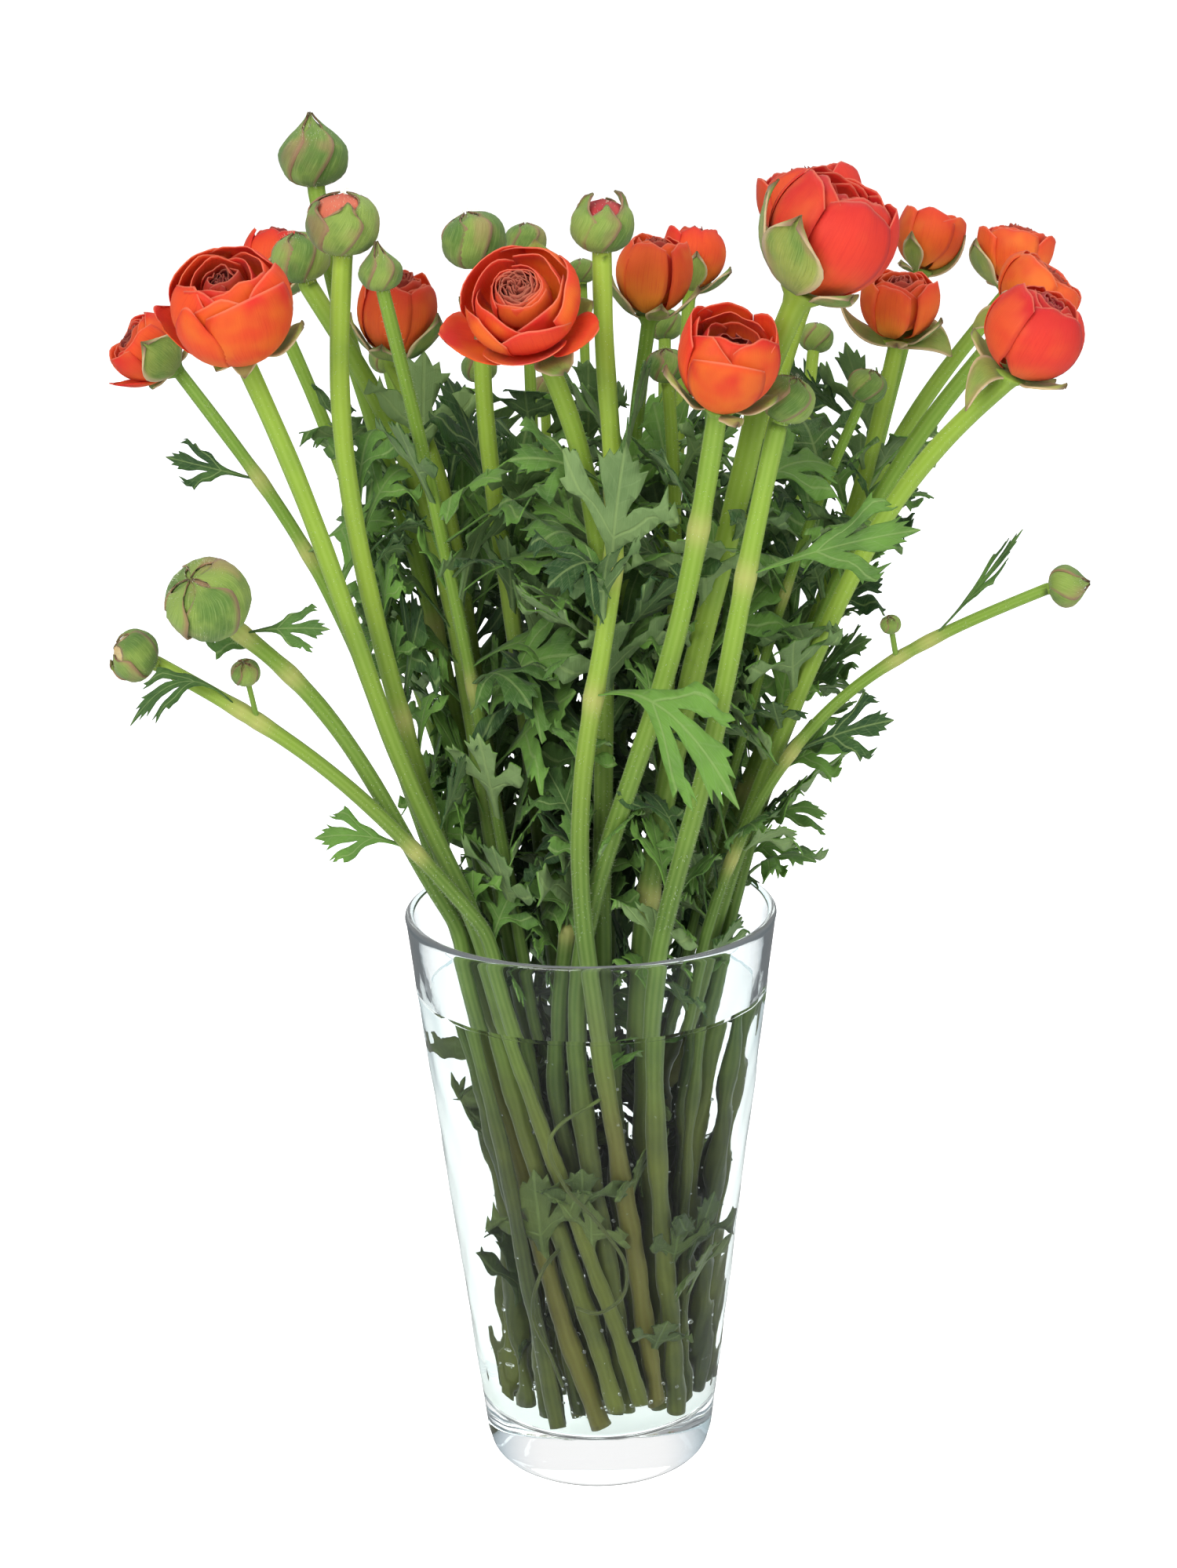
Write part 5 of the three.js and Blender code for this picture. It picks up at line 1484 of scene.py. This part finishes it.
def model_vase(sides, steps, dimples):
    height, floor, fillet, corner, wall = (VASE[k] for k in ("height", "floor", "fillet", "corner", "wall"))
    underside = [(6, 1.6), (14, 1.2), (24, 0.9), (29, 0.3)]
    inside = [(24, floor - 0.3), (12, floor - 0.5), (4, floor - 0.5)]
    foot = [(wall_radius(0) - corner * (1 - math.sin(a)), corner * (1 - math.cos(a)))
            for a in np.linspace(0, 1.45, 7)]
    rim = [(wall_radius(height) - wall / 2 + wall / 2 * math.cos(a), height - 1.5 + 1.5 * math.sin(a))
           for a in np.linspace(0, math.pi, 9)]
    bend = [(inner_radius(floor + fillet) - fillet * (1 - math.cos(a)), floor + fillet * (1 - math.sin(a)))
            for a in np.linspace(0, math.pi / 2, 6)]
    outer_wall = wall_steps(8, height - 3, steps, wall_radius)
    inner_wall = wall_steps(height - 3, floor + fillet + 1.5, steps, inner_radius)
    profile = [*underside, *foot, *outer_wall, *rim, *inner_wall, *bend, *inside]
    piece = extruded_body("glass_vase", profile, sides)
    wave_glass(piece, dimples)
    select(piece)
    bpy.ops.object.shade_smooth()
    return piece


def model_water(sides):
    inset = 0.02
    floor, fillet = VASE["floor"] + inset, VASE["fillet"]
    low, top = inner_radius(VASE["floor"] + fillet) - inset, inner_radius(WATER_LEVEL)
    bend = [(low - fillet * (1 - math.sin(a)), floor + fillet * (1 - math.cos(a)))
            for a in np.linspace(0.2, math.pi / 2, 5)]
    side = wall_steps(30, WATER_LEVEL, 8, lambda z: inner_radius(z) - inset)
    surface = [(top - 0.6, WATER_LEVEL - 0.5), (top - 2, WATER_LEVEL - 0.8), (20, WATER_LEVEL - 0.8)]
    piece = extruded_body("water_fill", [(20, floor), *bend, *side, *surface], sides)
    select(piece)
    bpy.ops.object.shade_smooth_by_angle(angle=math.radians(40))
    return piece


def faces_where(piece, test, slot):
    """Gives the faces whose centres pass a test another material slot."""
    for face in piece.data.polygons:
        if test(face.center / MM, face.normal):
            face.material_index = slot


# ---------------------------------------------------------------- settings

class VaseSettings(bpy.types.PropertyGroup):
    sides: bpy.props.IntProperty(name="Sides", description="Faces round the vase", default=128, min=24)
    steps: bpy.props.IntProperty(name="Steps", description="Rings up the wall", default=44, min=4)
    dimples: bpy.props.FloatProperty(name="Dimples", description="Depth of the dimples in the glass, in mm",
                                     default=0.26, min=0.0)


class StemSettings(bpy.types.PropertyGroup):
    sides: bpy.props.IntProperty(name="Sides", description="Faces round a stem", default=14, min=5)
    hairs: bpy.props.FloatProperty(name="Hairs", description="Hairs for each mm of stem", default=6.0,
                                   min=0.0)
    hair_length: bpy.props.FloatProperty(name="Hair length", description="Length of a hair, in mm",
                                         default=1.0)
    leaf: bpy.props.FloatProperty(name="Leaf thickness", description="Thickness of a leaf", default=0.00045,
                                  unit="LENGTH")
    sepal: bpy.props.FloatProperty(name="Sepal thickness", description="Thickness of a sepal", default=0.0006,
                                   unit="LENGTH")


class BloomSettings(bpy.types.PropertyGroup):
    columns: bpy.props.IntProperty(name="Columns", description="Faces across a petal", default=10, min=4)
    rows: bpy.props.IntProperty(name="Rows", description="Faces up a petal", default=14, min=4)
    petal: bpy.props.FloatProperty(name="Petal thickness", description="Thickness of a petal", default=0.0003,
                                   unit="LENGTH")


class StageSettings(bpy.types.PropertyGroup):
    floor: bpy.props.FloatVectorProperty(name="Floor", description="Colour of the floor", subtype="COLOR",
                                         default=(0.95, 0.95, 0.95))
    sky: bpy.props.FloatProperty(name="Sky", description="Strength of the light from all round", default=0.58)
    key: bpy.props.FloatProperty(name="Key", description="Power of the soft light at the front", default=23.0,
                                 unit="POWER")
    fill: bpy.props.FloatProperty(name="Fill", description="Power of the soft light at the right",
                                  default=8.0, unit="POWER")
    top: bpy.props.FloatProperty(name="Top", description="Power of the soft light above", default=7.0,
                                 unit="POWER")


class BouquetSettings(bpy.types.PropertyGroup):
    vase: bpy.props.PointerProperty(type=VaseSettings)
    stems: bpy.props.PointerProperty(type=StemSettings)
    blooms: bpy.props.PointerProperty(type=BloomSettings)
    stage: bpy.props.PointerProperty(type=StageSettings)


# ---------------------------------------------------------------- operators

class BOUQUET_OT_stage(bpy.types.Operator):
    """Sets the floor, the soft light all round, three large lights and the camera"""
    bl_idname = "bouquet.stage"
    bl_label = "Stage"

    def execute(self, context):
        settings = context.scene.bouquet.stage
        context.scene.view_settings.view_transform = "Standard"
        self.add_floor(settings)
        self.add_sky(context.scene, settings)
        for name, (location, size) in LIGHTS.items():
            self.add_light(name, location, getattr(settings, name), size)
        self.add_camera(context.scene)
        return {"FINISHED"}

    def add_floor(self, settings):
        """Pale and even to the eye. For rays other than the camera's it glows bluer to the sides, and in
        reflections it shows dark: a painted glow and a painted reflection, for the glass to show.
        """
        select()
        bpy.ops.mesh.primitive_plane_add(size=8.0, location=(0, 0, -0.0002))
        floor = bpy.context.object
        floor.name = "floor"
        look = Look("pale floor")
        grain = look.noise(look.place(), 40.0)
        shade = look.mix(grain * 0.04, (*settings.floor, 1.0), colour(240, 240, 240))
        seen, soft = look.ray("Is Camera Ray"), look.ray("Is Diffuse Ray")
        aside = look.split(look.place())[0].math("ABSOLUTE").smooth(0.08, 0.45)
        # painted glow: bluer to the sides, for rays other than the camera's
        glow = look.mix((1 - seen) * aside, (1, 1, 1, 1), (0.12, 0.36, 0.5, 1))
        strength = seen * 0.8 + (1 - seen) * (1 - soft) * 0.45 + 0.04
        surface = look.shader(Base_Color=shade, Roughness=0.8, Emission_Color=glow,
                              Emission_Strength=strength)
        dark = look.shader(Base_Color=(0, 0, 0, 1), Roughness=1.0, Specular_IOR_Level=0.0)
        # painted reflection: the floor shows dark in reflections
        surface = look.mixed(look.mirrored() * 0.85, surface, dark)
        floor.data.materials.append(look.done(surface))

    def add_sky(self, scene, settings):
        """White behind the bunch, bluer to the sides and darker behind the viewer, for the glass to show."""
        scene.world = bpy.data.worlds.new("studio")
        look = Look("studio", scene.world)
        right, ahead, _ = look.split(look.node("ShaderNodeTexCoord", output="Generated"))
        aside = right.math("ABSOLUTE").smooth(0.3, 0.9)
        back = (ahead * -1).smooth(0.1, 0.9)
        seen, soft = look.ray("Is Camera Ray"), look.ray("Is Diffuse Ray")
        shade = look.mix(aside * (1 - seen), (1, 1, 1, 1), (0.55, 0.68, 0.76, 1))
        shade = look.mix(back * 0.5 * soft, shade, (0.25, 0.28, 0.3, 1))
        strength = seen * 1.12 + (1 - seen) * (soft * (settings.sky - 1) + 1 - look.mirrored() * 0.6)
        background = look.node("ShaderNodeBackground", None, {0: shade, 1: strength})
        look.node("ShaderNodeOutputWorld", None, {0: background})

    def add_light(self, name, location, power, size):
        select()
        bpy.ops.object.light_add(type="AREA", location=location)
        light = bpy.context.object
        light.name = name
        light.data.energy = power
        light.data.size = size
        aim = Vector(LIGHTS_AIM) - light.location
        light.rotation_euler = aim.to_track_quat("-Z", "Y").to_euler()

    def add_camera(self, scene):
        """The photograph's view: level with the blooms, looking down, with a slight roll."""
        pitch, roll = math.radians(CAMERA["pitch"]), math.radians(CAMERA["roll"])
        ahead = Vector((0, math.cos(pitch), -math.sin(pitch)))
        level = Vector((1, 0, 0))
        down = ahead.cross(level)
        right = math.cos(roll) * level + math.sin(roll) * down
        low = -math.sin(roll) * level + math.cos(roll) * down
        data = bpy.data.cameras.new("camera")
        data.lens = CAMERA["lens"]
        data.sensor_width = 36
        camera = bpy.data.objects.new("camera", data)
        scene.collection.objects.link(camera)
        turn = Matrix((right, -low, -ahead)).transposed().to_4x4()
        camera.matrix_world = Matrix.Translation(CAMERA["place"]) @ turn
        scene.camera = camera


class BOUQUET_OT_vase(bpy.types.Operator):
    """Models the tapered glass vase with its thick foot"""
    bl_idname = "bouquet.vase"
    bl_label = "Vase"

    def execute(self, context):
        settings = context.scene.bouquet.vase
        piece = model_vase(settings.sides, settings.steps, settings.dimples)
        finish_piece(piece, "vase", "vase_glass", glass_look(), wet_glass_look())

        def wet(centre, normal):
            out = math.hypot(centre.x, centre.y)
            inside = out < inner_radius(centre.z) + 1 and normal.x * centre.x + normal.y * centre.y < 1e-6
            return inside and VASE["floor"] - 1 < centre.z < WATER_LEVEL and normal.z > -0.5

        faces_where(piece, wet, 1)
        return {"FINISHED"}


class BOUQUET_OT_water(bpy.types.Operator):
    """Models the water and the small air bubbles on the stems"""
    bl_idname = "bouquet.water"
    bl_label = "Water"

    def execute(self, context):
        piece = model_water(context.scene.bouquet.vase.sides)
        surface = clear_look("water surface", 1.03, colour(254, 255, 254))
        body = clear_look("water against glass", 1.0, colour(250, 253, 249))
        finish_piece(piece, "water", "water", surface, body)
        faces_where(piece, lambda centre, normal: centre.z < WATER_LEVEL - 1, 1)
        self.add_bubbles()
        return {"FINISHED"}

    def add_bubbles(self):
        growth = bouquet()
        draw = random_from(SEEDS["bubbles"])
        select()
        bpy.ops.mesh.primitive_uv_sphere_add(segments=8, ring_count=5, radius=1.0)
        ball = bpy.context.object
        select(ball)
        bpy.ops.object.shade_smooth()
        round_points = points_of(ball.data)
        bubbles = []
        for stem, plant in zip(growth.stems, growth.plants):
            for _ in range(BUBBLES):
                p = stem[int(next(draw) ** 2.4 * len(stem))]
                turn, size = 2 * math.pi * next(draw), 0.28 + 0.5 * next(draw) ** 2
                if not VASE["floor"] + 4 < p[2] < WATER_LEVEL - 6:
                    continue
                out = plant["stem"] + size * 0.8
                centre = p + np.array([math.cos(turn) * out, math.sin(turn) * out, 3 * next(draw)])
                bubbles.append(copy_of(ball.data, "bubble", centre + round_points * size, []))
        bpy.data.objects.remove(ball)
        piece = join(bubbles, "air_bubbles")
        finish_piece(piece, None, "water", clear_look("air bubble", 1.6, colour(255, 255, 255)))


class PlantOperator:
    """What the operators for stems share."""

    def model_plant(self, context, number, node, slot):
        settings = context.scene.bouquet.stems
        growth = bouquet()
        plant = growth.plants[number]
        draw = random_from(SEEDS["plant"] + number)
        stem, points, radii = model_stem(plant, number, settings.sides)
        parts = [stem, *model_leaves(number, draw, settings.leaf)]
        roots = stem_hair_roots(points, radii, draw, settings.hairs)
        parts.append(model_hairs(roots, draw, settings.hair_length))
        for side in plant.get("side", ()):
            parts += model_side_bud(number, side, draw, settings.sepal)
        if plant["name"] in STRANDS:
            parts.append(model_strand(number, *STRANDS[plant["name"]]))
        if number < len(FLOWERS):
            parts.append(model_sepals(plant, draw, settings.sepal))
        elif "centre" in plant:
            parts += model_bud(plant, draw, settings.sepal)
        finish_piece(join(parts, f"plant_{plant['name']}"), node, slot)


class BOUQUET_OT_flowering_stems(PlantOperator, bpy.types.Operator):
    """Models each flowering stem with its leaves and sepals"""
    bl_idname = "bouquet.flowering_stems"
    bl_label = "Flowering stems"

    def execute(self, context):
        for number, flower in enumerate(FLOWERS):
            self.model_plant(context, number, f"stem_{flower['name']}", "stem_green")
        return {"FINISHED"}


class BOUQUET_OT_budding_stems(PlantOperator, bpy.types.Operator):
    """Models each budding stem with its bud and leaves, and the cut stub"""
    bl_idname = "bouquet.budding_stems"
    bl_label = "Budding stems"

    def execute(self, context):
        for number, bud in enumerate(BUDS, len(FLOWERS)):
            self.model_plant(context, number, f"bud_{bud['name']}", "bud_green")
        self.model_plant(context, len(FLOWERS) + len(BUDS), "stub", "stem_green")
        return {"FINISHED"}


class BOUQUET_OT_blooms(bpy.types.Operator):
    """Models the petals of each flower"""
    bl_idname = "bouquet.blooms"
    bl_label = "Blooms"

    def execute(self, context):
        settings = context.scene.bouquet.blooms
        for number, flower in enumerate(FLOWERS):
            family = BLOOM_COLOUR.get(flower["name"], "red")
            draw = random_from(SEEDS["bloom"] + number)
            piece = model_bloom(flower, family, draw, settings.columns, settings.rows, settings.petal)
            slot = PETAL_SLOT.get(family, f"petals_{family}")
            finish_piece(piece, f"petals_{flower['name']}", slot)
        return {"FINISHED"}


class BOUQUET_PT_pieces(bpy.types.Panel):
    """Lists the pieces of the bouquet and their settings"""
    bl_label = "Bouquet"
    bl_space_type = "VIEW_3D"
    bl_region_type = "UI"
    bl_category = "Bouquet"

    def draw(self, context):
        for group, operators in PANEL_ROWS.items():
            box = self.layout.box()
            settings = getattr(context.scene.bouquet, group)
            for name in settings.bl_rna.properties.keys():
                if name not in {"rna_type", "name"}:
                    box.prop(settings, name)
            for operator in operators:
                box.operator(operator.bl_idname)


PANEL_ROWS = {
    "stage": (BOUQUET_OT_stage,),
    "vase": (BOUQUET_OT_vase, BOUQUET_OT_water),
    "stems": (BOUQUET_OT_flowering_stems, BOUQUET_OT_budding_stems),
    "blooms": (BOUQUET_OT_blooms,),
}
CLASSES = (
    VaseSettings, StemSettings, BloomSettings, StageSettings, BouquetSettings,
    BOUQUET_OT_stage, BOUQUET_OT_vase, BOUQUET_OT_water, BOUQUET_OT_flowering_stems,
    BOUQUET_OT_budding_stems, BOUQUET_OT_blooms, BOUQUET_PT_pieces,
)


def register():
    for cls in CLASSES:
        bpy.utils.register_class(cls)
    bpy.types.Scene.bouquet = bpy.props.PointerProperty(type=BouquetSettings)


def unregister():
    del bpy.types.Scene.bouquet
    for cls in reversed(CLASSES):
        bpy.utils.unregister_class(cls)


def main():
    register()
    bpy.ops.bouquet.stage()
    bpy.ops.bouquet.vase()
    bpy.ops.bouquet.water()
    bpy.ops.bouquet.flowering_stems()
    bpy.ops.bouquet.budding_stems()
    bpy.ops.bouquet.blooms()


if __name__ == "__main__":
    main()
